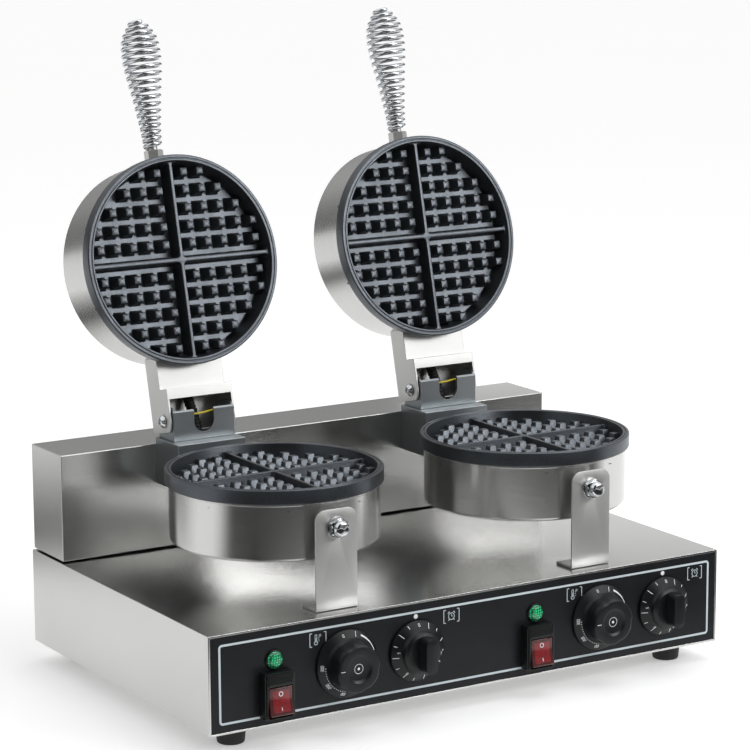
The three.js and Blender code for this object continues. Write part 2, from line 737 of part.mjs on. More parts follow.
function addLowerPan(unit, side) {
  const rim = [0, PAN_Y, PAN.rimTop];
  const pivot = [0, PIVOT.y, PIVOT.z];
  addPart(unit, `front_bracket_${side}`, frontBracket(), BRIGHT_SHEET);
  addPart(unit, `front_stud_${side}`, frontStud(), CHROME, [0, 0, FRONT_BRACKET.studZ]);
  addPart(unit, `lower_shell_${side}`, lowerShell(), STAINLESS, rim);
  addPart(unit, `lower_plate_${side}`, gridPlate(), CAST_PLATE, rim);
  addPart(unit, `lower_element_${side}`, heatingElement(), ELEMENT_METAL, rim);
  addPart(unit, `hinge_box_${side}`, hingeBox(), BRIGHT_SHEET);
  addPart(unit, `hinge_clevis_${side}`, hingeClevis(), BRIGHT_SHEET);
  addPart(unit, `pivot_bolt_inner_${side}`, pivotBolt(), CHROME, pivot);
  addPart(unit, `pivot_bolt_outer_${side}`, pivotBolt(), CHROME, pivot).rotation.z = Math.PI;
  addPart(unit, `wire_conduit_${side}`, wireConduit(), SLEEVE, pivot);
}

function addControls(unit, side) {
  const temperature = [0, 0, KNOB_Z];
  const timer = [TIMER_X, 0, KNOB_Z];
  addPart(unit, `temp_knob_${side}`, temperatureKnob(), KNOB_BLACK, temperature);
  addPart(unit, `temp_spindle_${side}`, spindle(), STAINLESS, temperature);
  addPart(unit, `thermostat_${side}`, thermostat(), BODY_PLASTIC, temperature);
  addPart(unit, `timer_knob_${side}`, timerKnob(), KNOB_BLACK, timer);
  addPart(unit, `timer_spindle_${side}`, spindle(), STAINLESS, timer);
  addPart(unit, `timer_movement_${side}`, timerMovement(), BODY_PLASTIC, timer);
  addPart(unit, `switch_housing_${side}`, switchHousing(), KNOB_BLACK, [SWITCH.x, 0, SWITCH.z]);
  const rockerMesh = addPart(
    unit, `rocker_${side}`, rocker(), ROCKER_RED, [SWITCH.x, ROCKER.pivotY, SWITCH.z - ROCKER.drop],
  );
  rockerMesh.rotation.x = -THREE.MathUtils.degToRad(ROCKER.tilt);
  addPart(unit, `indicator_lamp_${side}`, indicatorLamp(), LAMP_GREEN, [LAMP.x, 0, LAMP.z]);
}

function addLid(unit, side) {
  const lid = new THREE.Group();
  lid.position.set(0, PIVOT.y, PIVOT.z);
  lid.rotation.x = -THREE.MathUtils.degToRad(LID_OPEN);
  unit.add(lid);
  const pan = new THREE.Group();
  pan.position.set(0, LID_PAN_Y, LID_RIM_Z);
  pan.rotation.x = Math.PI;
  lid.add(pan);
  addPart(pan, `lid_shell_${side}`, lidShell(), STAINLESS);
  addPart(pan, `lid_plate_${side}`, gridPlate(), CAST_PLATE);
  addPart(pan, `lid_element_${side}`, heatingElement(), ELEMENT_METAL);
  addPart(lid, `lid_arm_${side}`, lidArm(), BRIGHT_SHEET);
  addPart(lid, `handle_stud_${side}`, handleStud(), CHROME);
  addPart(lid, `handle_spring_${side}`, handleSpring(), CHROME);
}

addBase();
for (const [side, centreX] of [['left', -UNIT_X], ['right', UNIT_X]]) {
  const unit = new THREE.Group();
  unit.position.x = centreX;
  machine.add(unit);
  addLowerPan(unit, side);
  addControls(unit, side);
  addLid(unit, side);
}

export default machine;
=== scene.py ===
"""Double round waffle baker: its looks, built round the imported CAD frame.

Meshes are made in millimetres in a piece's own frame; add() scales them and places them in the row frame.
"""

import json
import math

import bmesh
import bpy
from mathutils import Matrix, Vector

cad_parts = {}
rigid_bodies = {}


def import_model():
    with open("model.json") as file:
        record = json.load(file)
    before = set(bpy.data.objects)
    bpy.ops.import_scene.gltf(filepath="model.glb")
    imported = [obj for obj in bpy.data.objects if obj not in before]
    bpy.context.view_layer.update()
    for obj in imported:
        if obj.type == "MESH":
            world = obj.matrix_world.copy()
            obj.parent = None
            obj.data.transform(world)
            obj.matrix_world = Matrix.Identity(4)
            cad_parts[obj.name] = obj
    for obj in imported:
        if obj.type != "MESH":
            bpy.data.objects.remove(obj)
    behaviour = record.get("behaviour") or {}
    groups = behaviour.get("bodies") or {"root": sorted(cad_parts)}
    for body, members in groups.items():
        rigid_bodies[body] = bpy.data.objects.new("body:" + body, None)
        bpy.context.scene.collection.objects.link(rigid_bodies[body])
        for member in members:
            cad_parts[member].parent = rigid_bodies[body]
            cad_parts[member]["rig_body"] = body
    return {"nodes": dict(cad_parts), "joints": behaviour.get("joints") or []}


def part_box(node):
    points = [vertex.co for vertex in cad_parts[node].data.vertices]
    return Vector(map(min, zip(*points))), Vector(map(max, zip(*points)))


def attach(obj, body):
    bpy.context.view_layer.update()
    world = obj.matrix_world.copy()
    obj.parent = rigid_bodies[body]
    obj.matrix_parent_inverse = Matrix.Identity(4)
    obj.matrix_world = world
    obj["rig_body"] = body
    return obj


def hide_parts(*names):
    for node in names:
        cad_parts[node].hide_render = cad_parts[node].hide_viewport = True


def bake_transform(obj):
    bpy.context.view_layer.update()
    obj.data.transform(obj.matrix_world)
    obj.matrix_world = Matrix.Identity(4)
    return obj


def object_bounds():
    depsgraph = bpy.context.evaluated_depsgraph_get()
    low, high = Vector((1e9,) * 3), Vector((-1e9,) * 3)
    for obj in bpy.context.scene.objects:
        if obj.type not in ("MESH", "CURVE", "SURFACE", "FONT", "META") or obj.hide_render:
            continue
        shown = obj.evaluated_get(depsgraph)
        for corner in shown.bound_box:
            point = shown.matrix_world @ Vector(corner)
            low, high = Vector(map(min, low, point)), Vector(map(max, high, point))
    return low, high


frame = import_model()
cad_low, cad_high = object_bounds()
NODES = frame["nodes"]
JOINTS = {joint["name"]: joint for joint in frame["joints"]}
SIDES = ("left", "right")
MM = 0.001
FINE = 96                 # facets round a pan or a nut
MEDIUM = 64               # facets round a knob
SMALL = 32                # facets round a bolt


# ---- places, from the CAD frame

def middle(node):
    low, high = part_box(node)
    return (low + high) / 2


def at(x, y, z):
    """A frame with its origin at that point, in metres."""
    return Matrix.Translation((x, y, z))


def facing_user(point):
    """A frame whose +Z points at the user, along -Y, with +X to the right and +Y up."""
    return Matrix.Translation(point) @ Matrix.Rotation(math.radians(90), 4, "X")


PANEL_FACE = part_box("control_panel")[0].y
ALONG_X = Matrix(((0, 0, 1, 0), (1, 0, 0, 0), (0, 1, 0, 0), (0, 0, 0, 1)))   # lays a section's Z along X


def on_panel(node, y=PANEL_FACE):
    """A frame that faces the user at that y, in the middle of a node."""
    low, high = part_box(node)
    return facing_user(((low.x + high.x) / 2, y, (low.z + high.z) / 2))


def rim_frame(side):
    """The lower pan's frame: its rim plane at z = 0, on the pan's axis."""
    low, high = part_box(f"lower_plate_{side}")
    return at((low.x + high.x) / 2, (low.y + high.y) / 2, high.z)


def lid_frame(side):
    """The lid's frame about its pivot, with the axes that it has when closed."""
    hinge = JOINTS[f"lid_hinge_{side}"]
    open_angle = math.radians(hinge["range_deg"][1])
    return Matrix.Translation(hinge["pos_m"]) @ Matrix.Rotation(-open_angle, 4, "X")


def lid_pan_frame(side):
    """The lid pan's own frame: its rim plane at z = 0, and its inside below it."""
    pivot = Vector(JOINTS[f"lid_hinge_{side}"]["pos_m"])
    rim = rim_frame(side).translation
    offset = Vector((0, rim.y - pivot.y, rim.z - pivot.z + CLOSED_RIM_GAP * MM))
    return lid_frame(side) @ Matrix.Translation(offset) @ Matrix.Rotation(math.pi, 4, "X")


# ---- sizes in millimetres

CLOSED_RIM_GAP = 0.4
PAN = {"rim": 100, "shell": 96.5, "rim_height": 13.25, "depth": 66}
GROOVE = {"outer": 97.3, "inner": 95.8, "depth": 0.9}
GRID = {"floor": -20, "wall_top": 94, "wall_bottom": 90, "back": -30, "seat": 88, "collar": 94}
RIB = {"top": -4.7, "half": 1.85, "flare": 1.55, "fillet": 3.4, "end": 3}
PEG = {"top": -6, "half": 3.5, "foot": 5.5, "pitch": 17.1, "first": (14.1, 15.2), "reach": 90}
STUD = {"across": 17, "height": 7, "dome": 7, "washer": 9.6, "washer_top": 1.3, "dome_foot": 7.6}
HANDLE = {"above_rim": 36, "across": 16, "height": 12, "boss": 4.2, "boss_length": 20}
SPRING = {"length": 125, "wire": 2.4, "turns": 18.5, "end_pitch": 4.95}
SPRING_RADII = (10, 10.8, 12.6, 14.5, 16.9, 19.1, 19.8, 17.8, 9.6)
BOLT = {"head": 6.5, "height": 4.5}
FOOT = {"top": 14, "bottom": 12.3, "hollow": 8, "hollow_depth": 2.5}
BRACKET = {"corner": 10, "thick": 2, "hole": 4.4, "boss": 8, "boss_length": 11.5}
LAMP = {"radius": 8.8, "proud": 5}
SWITCH = {"x": 15, "y": 21, "proud": 10.5, "window": (12, 14.3), "drop": 5}
ROCKER = {"half": 13, "front": 6.4, "valley": 4.2, "back": 5, "corner": 1.2}
ROCKER_WINDOW = {"half": 10.2, "front": 6.0, "valley": 4.35, "back": -2, "corner": 0.5}
ROCKER_TILT = -9          # degrees, as it stands in the CAD
TERRACES = ((2.4, 9.9, 17.6), (3.0, 9.7, 15.4), (3.4, 9.6, 13.2))   # (inset, foot, top) of each
TEMP = {"radius": 31, "skirt_edge": 2.0, "grip": 24.3, "skirt_top": 6.0}
TIMER = {"radius": 28, "skirt_edge": 2.2, "grip": 20.2, "skirt_top": 8.2}
PRINT_THICK = 0.12


# ---- materials

def set_inputs(node, **values):
    """Sets a shader node's inputs. A name has _ where the socket's has a space."""
    for socket, value in values.items():
        node.inputs[socket.replace("_", " ")].default_value = value


class Surface:
    """A Principled material whose colour, roughness and relief come from noise in a piece's own frame."""

    def __init__(self, name, colour, roughness, metallic=0.0, **values):
        self.material = bpy.data.materials.new(name)
        self.material.use_nodes = True
        self.nodes = self.material.node_tree.nodes
        self.links = self.material.node_tree.links
        self.shader = self.nodes["Principled BSDF"]
        self.colour = colour
        set_inputs(self.shader, Base_Color=(*colour, 1), Roughness=roughness, Metallic=metallic, **values)

    def node(self, kind, **values):
        made = self.nodes.new(f"ShaderNode{kind}")
        set_inputs(made, **values)
        return made

    def noise(self, scale, stretch=(1, 1, 1), detail=3.0):
        """Noise with `scale` features per metre, drawn out along the axes whose stretch is small."""
        mapping = self.node("Mapping", Scale=stretch)
        texture = self.node("TexNoise", Scale=scale, Detail=detail)
        self.links.new(self.node("TexCoord").outputs["Object"], mapping.inputs["Vector"])
        self.links.new(mapping.outputs["Vector"], texture.inputs["Vector"])
        return texture.outputs["Fac"]

    def cells(self, scale):
        """The distance from the edges of a lens's moulded cells."""
        texture = self.node("TexVoronoi")
        texture.feature = "DISTANCE_TO_EDGE"
        set_inputs(texture, Scale=scale, Randomness=0.45)
        self.links.new(self.node("TexCoord").outputs["Object"], texture.inputs["Vector"])
        return texture.outputs["Distance"]

    def between(self, source, low, high, start=0.3, end=0.7):
        ranged = self.node("MapRange", From_Min=start, From_Max=end, To_Min=low, To_Max=high)
        self.links.new(source, ranged.inputs["Value"])
        return ranged.outputs["Result"]

    def vary_roughness(self, source, low, high):
        self.links.new(self.between(source, low, high), self.shader.inputs["Roughness"])

    def vary_colour(self, source, dark, light, start=0.3, end=0.7):
        """Shades the base colour from `dark` times to `light` times its value."""
        mix = self.node("Mix")
        mix.data_type = "RGBA"
        set_inputs(mix, A=(*(c * dark for c in self.colour), 1), B=(*(c * light for c in self.colour), 1))
        self.links.new(self.between(source, 0, 1, start, end), mix.inputs["Factor"])
        self.links.new(mix.outputs["Result"], self.shader.inputs["Base Color"])

    def spread_along_axis(self, amount):
        """Draws highlights out along the piece's own Z, as grooves turned about it do."""
        tangent = self.node("Tangent")
        tangent.direction_type = "RADIAL"
        tangent.axis = "Z"
        self.links.new(tangent.outputs["Tangent"], self.shader.inputs["Tangent"])
        set_inputs(self.shader, Anisotropic=amount, Anisotropic_Rotation=0.25)

    def relief(self, source, height_mm):
        bump = self.node("Bump", Strength=1.0, Distance=height_mm * MM)
        self.links.new(source, bump.inputs["Height"])
        self.links.new(bump.outputs["Normal"], self.shader.inputs["Normal"])


def brushed(name, colour, roughness, stretch, relief=0.0005, spread=0.03, turned_about_z=False):
    """Steel with fine streaks along the axis whose stretch is small."""
    made = Surface(name, colour, roughness, metallic=1.0)
    if turned_about_z:
        made.spread_along_axis(0.7)
    streaks = made.noise(3400, stretch, detail=2)
    cloud = made.noise(9, (1, 1, 1), detail=2)
    made.vary_roughness(streaks, roughness - spread, roughness + spread)
    made.vary_colour(cloud, 0.97, 1.02)
    made.relief(streaks, relief)
    return made.material


def textured(name, colour, roughness, tint=None, sheen=None, relief=None, metallic=0.0, **values):
    """A surface whose look varies with noise.

    tint and sheen are (noise scale, detail, low, high) for the colour and the roughness, and relief is
    (noise scale, detail, height in millimetres).
    """
    made = Surface(name, colour, roughness, metallic, **values)
    if tint:
        made.vary_colour(made.noise(tint[0], detail=tint[1]), *tint[2:])
    if sheen:
        made.vary_roughness(made.noise(sheen[0], detail=sheen[1]), *sheen[2:])
    if relief:
        made.relief(made.noise(relief[0], detail=relief[1]), relief[2])
    return made.material


def moulded(name, colour, roughness, grain=0.02, **values):
    sheen = (60, 3, roughness - 0.06, roughness + 0.08)
    return textured(name, colour, roughness, (1600, 2, 0.85, 1.15), sheen, (1600, 2, grain), **values)


def red_lens(name, colour):
    return textured(
        name, colour, 0.22, (180, 3, 0.75, 1.15), (400, 3, 0.18, 0.28), Coat_Weight=0.3, Coat_Roughness=0.1,
    )


def printed(name, colour):
    return textured(name, colour, 0.5, (1500, 3, 0.9, 1.05), (300, 3, 0.44, 0.56))


def green_lens():
    made = Surface("lamp_green", (0.006, 0.26, 0.10), 0.18, Coat_Weight=0.5, Coat_Roughness=0.05)
    cells = made.cells(430)
    made.vary_colour(cells, 0.12, 2.6, 0.02, 0.30)
    made.vary_roughness(made.noise(400), 0.12, 0.22)
    made.relief(cells, 0.5)
    return made.material


STEEL = (0.60, 0.60, 0.59)
PALE_STEEL = (0.64, 0.64, 0.63)
PLATED_STEEL = (0.36, 0.385, 0.40)
LOOK = {
    "steel_x": brushed("steel_along_x", STEEL, 0.20, (0.02, 1, 1)),
    "steel_y": brushed("steel_along_y", STEEL, 0.24, (1, 0.02, 1)),
    "steel_z": brushed("steel_along_z", STEEL, 0.24, (1, 1, 0.02)),
    "steel_turned": brushed("steel_turned", STEEL, 0.24, (0.01, 0.01, 1), turned_about_z=True),
    "satin_x": brushed("satin_along_x", PALE_STEEL, 0.46, (0.03, 1, 1)),
    "satin_z": brushed("satin_along_z", PALE_STEEL, 0.46, (1, 1, 0.03)),
    "plated_x": brushed("plated_along_x", PLATED_STEEL, 0.36, (0.03, 1, 1)),
    "plated_z": brushed("plated_along_z", PLATED_STEEL, 0.36, (1, 1, 0.03)),
    "cast": textured(
        "cast_coating", (0.086, 0.095, 0.106), 0.32,
        (1100, 3, 0.75, 1.25), (70, 3, 0.28, 0.35), (1100, 3, 0.05), metallic=0.85,
    ),
    "chrome": textured(
        "chrome", (0.60, 0.615, 0.635), 0.08, (40, 2, 0.95, 1.0), (40, 2, 0.05, 0.13), metallic=1.0,
    ),
    "element": brushed("element_sheath", (0.30, 0.28, 0.26), 0.5, (1, 1, 1), relief=0.03),
    "panel": moulded("panel_film", (0.009, 0.010, 0.012), 0.36, grain=0.01, Specular_IOR_Level=0.22),
    "knob": moulded("knob_plastic", (0.006, 0.007, 0.008), 0.36, Specular_IOR_Level=0.32),
    "bezel": moulded("bezel_plastic", (0.005, 0.006, 0.006), 0.32, Specular_IOR_Level=0.35),
    "inner": moulded("inner_plastic", (0.03, 0.03, 0.032), 0.5),
    "ceramic": moulded("terminal_white", (0.78, 0.75, 0.68), 0.55),
    "sleeve": moulded("conduit_sleeve", (0.014, 0.014, 0.016), 0.6, grain=0.05),
    "yellow": moulded("wire_yellow", (0.66, 0.54, 0.02), 0.45),
    "rubber": textured("rubber", (0.012, 0.012, 0.013), 0.62, None, (900, 3, 0.55, 0.72), (900, 3, 0.03)),
    "red": red_lens("rocker_red", (0.21, 0.008, 0.012)),
    "red_deep": red_lens("rocker_red_deep", (0.065, 0.006, 0.007)),
    "green": green_lens(),
    "print": printed("print_pale", (0.55, 0.62, 0.66)),
    "print_white": printed("print_white", (0.82, 0.84, 0.85)),
}


# ---- outlines

def filleted(points, closed=True, step=12, steps=None):
    """An outline from (x, y, radius) points, with an arc of that radius in each corner.

    An arc has a point about every `step` degrees, or is cut into `steps` if that is given.
    """
    made = []
    last = len(points) - 1
    for i, (x, y, radius) in enumerate(points):
        corner = Vector((x, y))
        if radius == 0 or (not closed and i in (0, last)):
            made.append((x, y))
            continue
        before = Vector(points[i - 1][:2]) - corner
        after = Vector(points[(i + 1) % len(points)][:2]) - corner
        half = before.angle(after) / 2
        reach = min(radius / math.tan(half), 0.499 * before.length, 0.499 * after.length)
        bend = reach * math.tan(half)
        towards = (before.normalized() + after.normalized()).normalized()
        centre = corner + towards * (bend / math.sin(half))
        first = corner + before.normalized() * reach - centre
        final = corner + after.normalized() * reach - centre
        start = math.atan2(first.y, first.x)
        turn = (math.atan2(final.y, final.x) - start + math.pi) % (2 * math.pi) - math.pi
        count = steps or max(2, round(abs(math.degrees(turn)) / step))
        for k in range(count + 1):
            angle = start + turn * k / count
            made.append((centre.x + bend * math.cos(angle), centre.y + bend * math.sin(angle)))
    return made


def section_of(*points, step=12):
    """An open outline for turned(): filleted points from one end of the axis to the other."""
    return filleted(points, closed=False, step=step)


def rectangle(x0, x1, y0, y1, corner=0.0):
    return filleted([(x0, y0, corner), (x1, y0, corner), (x1, y1, corner), (x0, y1, corner)])


def circle(radius, x=0.0, y=0.0, count=SMALL):
    angles = [2 * math.pi * k / count for k in range(count)]
    return [(x + radius * math.cos(a), y + radius * math.sin(a)) for a in angles]


# ---- meshes, in millimetres

def ring_stack(rings, close_start=True, close_end=True):
    """A mesh through rings with equal numbers of points, capped by a fan at each end."""
    bm = bmesh.new()
    loops = [[bm.verts.new(point) for point in ring] for ring in rings]
    for lower, upper in zip(loops, loops[1:]):
        for k in range(len(lower)):
            n = (k + 1) % len(lower)
            bm.faces.new((lower[k], lower[n], upper[n], upper[k]))
    for wanted, loop in ((close_start, loops[0]), (close_end, loops[-1])):
        if wanted:
            cap(bm, loop)
    return finished(bm)


def cap(bm, loop):
    """Closes a loop with a fan about its middle."""
    centre = bm.verts.new(sum((v.co for v in loop), Vector()) / len(loop))
    for k in range(len(loop)):
        bm.faces.new((loop[k], loop[(k + 1) % len(loop)], centre))


def finished(bm, merge=1e-4):
    """The mesh of bm, cleaned, with its faces turned outward."""
    bmesh.ops.remove_doubles(bm, verts=bm.verts, dist=merge)
    bmesh.ops.dissolve_degenerate(bm, edges=bm.edges, dist=merge)
    bmesh.ops.recalc_face_normals(bm, faces=bm.faces)
    mesh = bpy.data.meshes.new("mesh")
    bm.to_mesh(mesh)
    bm.free()
    return mesh


def turned(profile, count=MEDIUM, shape=None):
    """A body of revolution about +Z from (radius, height) points.

    shape(angle, radius, height) may return another radius, for hexagons and scalloped grips.
    """
    angles = [2 * math.pi * k / count for k in range(count)]
    rings = []
    for radius, height in profile:
        ring = []
        for angle in angles:
            r = shape(angle, radius, height) if shape else radius
            ring.append((r * math.cos(angle), r * math.sin(angle), height))
        rings.append(ring)
    ends = [abs(profile[0][0]) > 1e-6, abs(profile[-1][0]) > 1e-6]
    return ring_stack(rings, *ends)


def hexagon_across(across):
    """A shape for turned(): no point is further out than a hexagon that measures `across` its flats."""
    def shape(angle, radius, _height):
        off_flat = (angle + math.pi / 6) % (math.pi / 3) - math.pi / 6
        return min(radius, across / 2 / math.cos(off_flat))
    return shape


def sheet(outlines, z0, z1, edge=0.3):
    """A flat sheet from closed outlines, the rim first and then the holes, with rounded edges."""
    bm = bmesh.new()
    levels = []
    for z in (z0, z1):
        loops = []
        edges = []
        for outline in outlines:
            loop = [bm.verts.new((x, y, z)) for x, y in outline]
            edges += [bm.edges.new((loop[k - 1], loop[k])) for k in range(len(loop))]
            loops.append(loop)
        bmesh.ops.triangle_fill(bm, use_beauty=True, edges=edges, normal=(0, 0, 1))
        levels.append(loops)
    for lower, upper in zip(*levels):
        for k in range(len(lower)):
            bm.faces.new((lower[k - 1], lower[k], upper[k], upper[k - 1]))
    bmesh.ops.recalc_face_normals(bm, faces=bm.faces)
    if edge:
        rims = [e for e in bm.edges if len(e.link_faces) == 2 and e.calc_face_angle() > math.radians(60)]
        rims = [e for e in rims if abs(e.verts[0].co.z - e.verts[1].co.z) < 1e-6]
        bevel(bm, rims, edge, 2)
    return finished(bm)


def bevel(bm, edges, width, segments):
    bmesh.ops.bevel(
        bm, geom=edges, offset=width, offset_type="OFFSET", segments=segments,
        profile=0.5, affect="EDGES", clamp_overlap=True,
    )


def tube(points, radius, sides=12, radii=None):
    """A round tube along a path, with rounded ends."""
    points = [Vector(p) for p in points]
    tangents = [(points[min(i + 1, len(points) - 1)] - points[max(i - 1, 0)]).normalized()
                for i in range(len(points))]
    side = tangents[0].orthogonal().normalized()
    rings = []
    for i, (point, tangent) in enumerate(zip(points, tangents)):
        side = (side - tangent * side.dot(tangent)).normalized()
        other = tangent.cross(side)
        size = radii[i] if radii else radius
        ring = [
            point + (side * math.cos(a) + other * math.sin(a)) * size
            for a in (2 * math.pi * k / sides for k in range(sides))
        ]
        rings.append(ring)
    start = [[p + (points[0] - p) * (1 - c) - tangents[0] * radius * s for p in rings[0]]
             for c, s in ((0.5, 0.86), (0.86, 0.5))]
    end = [[p + (points[-1] - p) * (1 - c) + tangents[-1] * radius * s for p in rings[-1]]
           for c, s in ((0.86, 0.5), (0.5, 0.86))]
    return ring_stack(start + rings + end)


def inlay(points, width, normals=(0, 0, 1), closed=False):
    """A thin line of print along a path. `normals` is one normal, or one for each point.

    `width` is one width, or one for each point.
    """
    points = [Vector(p) for p in points]
    count = len(points)
    bm = bmesh.new()
    loops = []
    for k, point in enumerate(points):
        before = points[k - 1] if closed else points[max(k - 1, 0)]
        after = points[(k + 1) % count] if closed else points[min(k + 1, count - 1)]
        normal = Vector(normals[k] if isinstance(normals, list) else normals).normalized()
        half = (width[k] if isinstance(width, list) else width) / 2
        side = normal.cross(after - before).normalized() * half
        lift = normal * PRINT_THICK
        ring = (point - side - lift, point + side - lift, point + side + lift, point - side + lift)
        loops.append([bm.verts.new(corner) for corner in ring])
    for k in range(count if closed else count - 1):
        lower, upper = loops[k], loops[(k + 1) % count]
        for j in range(4):
            n = (j + 1) % 4
            bm.faces.new((lower[j], lower[n], upper[n], upper[j]))
    if not closed:
        bm.faces.new(loops[0])
        bm.faces.new(loops[-1])
    return finished(bm)


def ring_of_print(radius, width, x=0.0, y=0.0, z=0.0, count=24):
    return inlay([(px, py, z) for px, py in circle(radius, x, y, count)], width, closed=True)


SEGMENTS = {
    "a": ((0, 2), (1, 2)), "b": ((1, 2), (1, 1)), "c": ((1, 1), (1, 0)), "d": ((0, 0), (1, 0)),
    "e": ((0, 1), (0, 0)), "f": ((0, 2), (0, 1)), "g": ((0, 1), (1, 1)),
}
DIGITS = {"0": "abcdef", "1": "bc", "2": "abged", "3": "abgcd", "5": "afgcd"}


def numerals(text, size, width):
    """Dial numerals in the XY plane, centred on the origin."""
    made = []
    pitch = size * 0.75
    start = -pitch * (len(text) - 1) / 2 - size / 4
    for k, digit in enumerate(text):
        left = start + k * pitch
        for segment in DIGITS[digit]:
            ends = [(left + px * size / 2, (py - 1) * size / 2, 0) for px, py in SEGMENTS[segment]]
            made.append(inlay(ends, width))
    return joined(*made)


def joined(*meshes):
    """One mesh from several."""
    bm = bmesh.new()
    for mesh in meshes:
        bm.from_mesh(mesh)
    return finished(bm, merge=1e-6)


def moved(mesh, matrix):
    mesh.transform(matrix)
    return mesh


def shifted(mesh, x=0.0, y=0.0, z=0.0):
    return moved(mesh, Matrix.Translation((x, y, z)))


# ---- pieces

def show(name, data, place=None):
    """A new object in the scene."""
    made = bpy.data.objects.new(name, data)
    bpy.context.scene.collection.objects.link(made)
    if place:
        made.matrix_world = place
    return made


def add(name, mesh, look, body, place, stands_for=(), sharp=35, scale=MM):
    """Puts a mesh into the scene as a piece that rides on a CAD body."""
    mesh.transform(Matrix.Scale(scale, 4))
    mesh.materials.clear()
    for key in ([look] if isinstance(look, str) else look):
        mesh.materials.append(LOOK[key])
    smooth(mesh, sharp)
    piece = show(name, mesh, place)
    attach(piece, body)
    if stands_for:
        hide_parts(*stands_for)
    return piece


def smooth(mesh, sharp_degrees):
    """Smooth shading, broken at edges sharper than the given angle."""
    bm = bmesh.new()
    bm.from_mesh(mesh)
    for face in bm.faces:
        face.smooth = True
    for edge in bm.edges:
        edge.smooth = len(edge.link_faces) == 2 and edge.calc_face_angle() < math.radians(sharp_degrees)
    bm.to_mesh(mesh)
    bm.free()


def refined(node, width_mm, segments=2):
    """A CAD node's shape in metres, with its flat faces merged and its edges rounded."""
    bm = bmesh.new()
    bm.from_mesh(NODES[node].data)
    bmesh.ops.remove_doubles(bm, verts=bm.verts, dist=2e-6)
    bmesh.ops.dissolve_limit(
        bm, angle_limit=math.radians(1), verts=bm.verts, edges=bm.edges,
        delimit={"NORMAL"},
    )
    bmesh.ops.recalc_face_normals(bm, faces=bm.faces)
    edges = [e for e in bm.edges if len(e.link_faces) == 2 and e.calc_face_angle() > math.radians(40)]
    bevel(bm, edges, width_mm * MM, segments)
    bmesh.ops.triangulate(bm, faces=[f for f in bm.faces if len(f.verts) > 4])
    mesh = bpy.data.meshes.new(node)
    bm.to_mesh(mesh)
    bm.free()
    return mesh


def paint_by_normal(mesh, keys):
    """Gives each face the material whose axis (0, 1 or 2) its normal is nearest to."""
    for polygon in mesh.polygons:
        parts = [abs(c) for c in polygon.normal]
        polygon.material_index = keys[parts.index(max(parts))]


def add_refined(name, node, width_mm, looks, by_axis=None, segments=2):
    """A CAD node's bevelled copy, which takes the node's place."""
    mesh = refined(node, width_mm, segments)
    piece = add(
        name, mesh, looks, NODES[node]["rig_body"], Matrix.Identity(4),
        stands_for=(node,), scale=1.0, sharp=50,
    )
    if by_axis:
        paint_by_normal(piece.data, by_axis)
    keep_flat = piece.modifiers.new("keep_flat", "WEIGHTED_NORMAL")
    keep_flat.keep_sharp = True
    keep_flat.weight = 90
    return piece


# ---- base, housing and feet

def add_base():
    steel_faces = ["steel_x", "steel_y", "steel_z"]
    add_refined("casing", "base_casing", 0.7, steel_faces, by_axis=(1, 0, 0), segments=3)
    add_refined("housing", "back_housing", 0.8, steel_faces, by_axis=(2, 0, 0), segments=3)
    add_refined("panel_sheet", "control_panel", 0.25, "panel")
    for place in ("front_left", "front_right", "rear_left", "rear_right"):
        add_foot(place)


def add_foot(place):
    low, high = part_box(f"foot_{place}")
    height = (high.z - low.z) / MM
    profile = section_of(
        (0, height, 0), (FOOT["top"], height, 1), (FOOT["bottom"], 0, 2.2),
        (FOOT["hollow"] + 1, 0, 0.8), (FOOT["hollow"], FOOT["hollow_depth"], 0.6),
        (0, FOOT["hollow_depth"], 0),
    )
    centre = (low + high) / 2
    add(
        f"rubber_foot_{place}", turned(profile), "rubber", "root",
        at(centre.x, centre.y, low.z), stands_for=(f"foot_{place}",),
    )


# ---- pans

def plate_ring():
    """The cast rim, wall, floor and back of a grid plate."""
    profile = section_of(
        (0, GRID["back"], 0), (GRID["seat"], GRID["back"], 2),
        (GRID["collar"], -PAN["rim_height"], 0.5), (PAN["rim"], -PAN["rim_height"], 1.2),
        (PAN["rim"], 0, 1.1), (GROOVE["outer"], 0, 0.35),
        (GROOVE["outer"] - 0.35, -GROOVE["depth"], 0.2),
        (GROOVE["inner"] + 0.35, -GROOVE["depth"], 0.2), (GROOVE["inner"], 0, 0.35),
        (GRID["wall_top"], 0, 0.7), (GRID["wall_bottom"], GRID["floor"], 2.2),
        (0, GRID["floor"], 0),
    )
    return turned(profile, FINE)


def cross_outline(half, wall, fillet):
    """The cross rib's outline at one level, where the cavity wall has the radius `wall`."""
    flare = RIB["end"]
    quarter = [
        (wall + 1, half + flare + 2, 0), (wall - 0.3, half + flare + 2, 0), (wall, half, flare),
        (half, half, fillet), (half, wall, flare), (half + flare + 2, wall - 0.3, 0),
        (half + flare + 2, wall + 1, 0),
    ]
    points = []
    for turn in range(4):
        for x, y, radius in quarter:
            for _ in range(turn):
                x, y = -y, x
            points.append((x, y, radius))
    return filleted(points, steps=5)


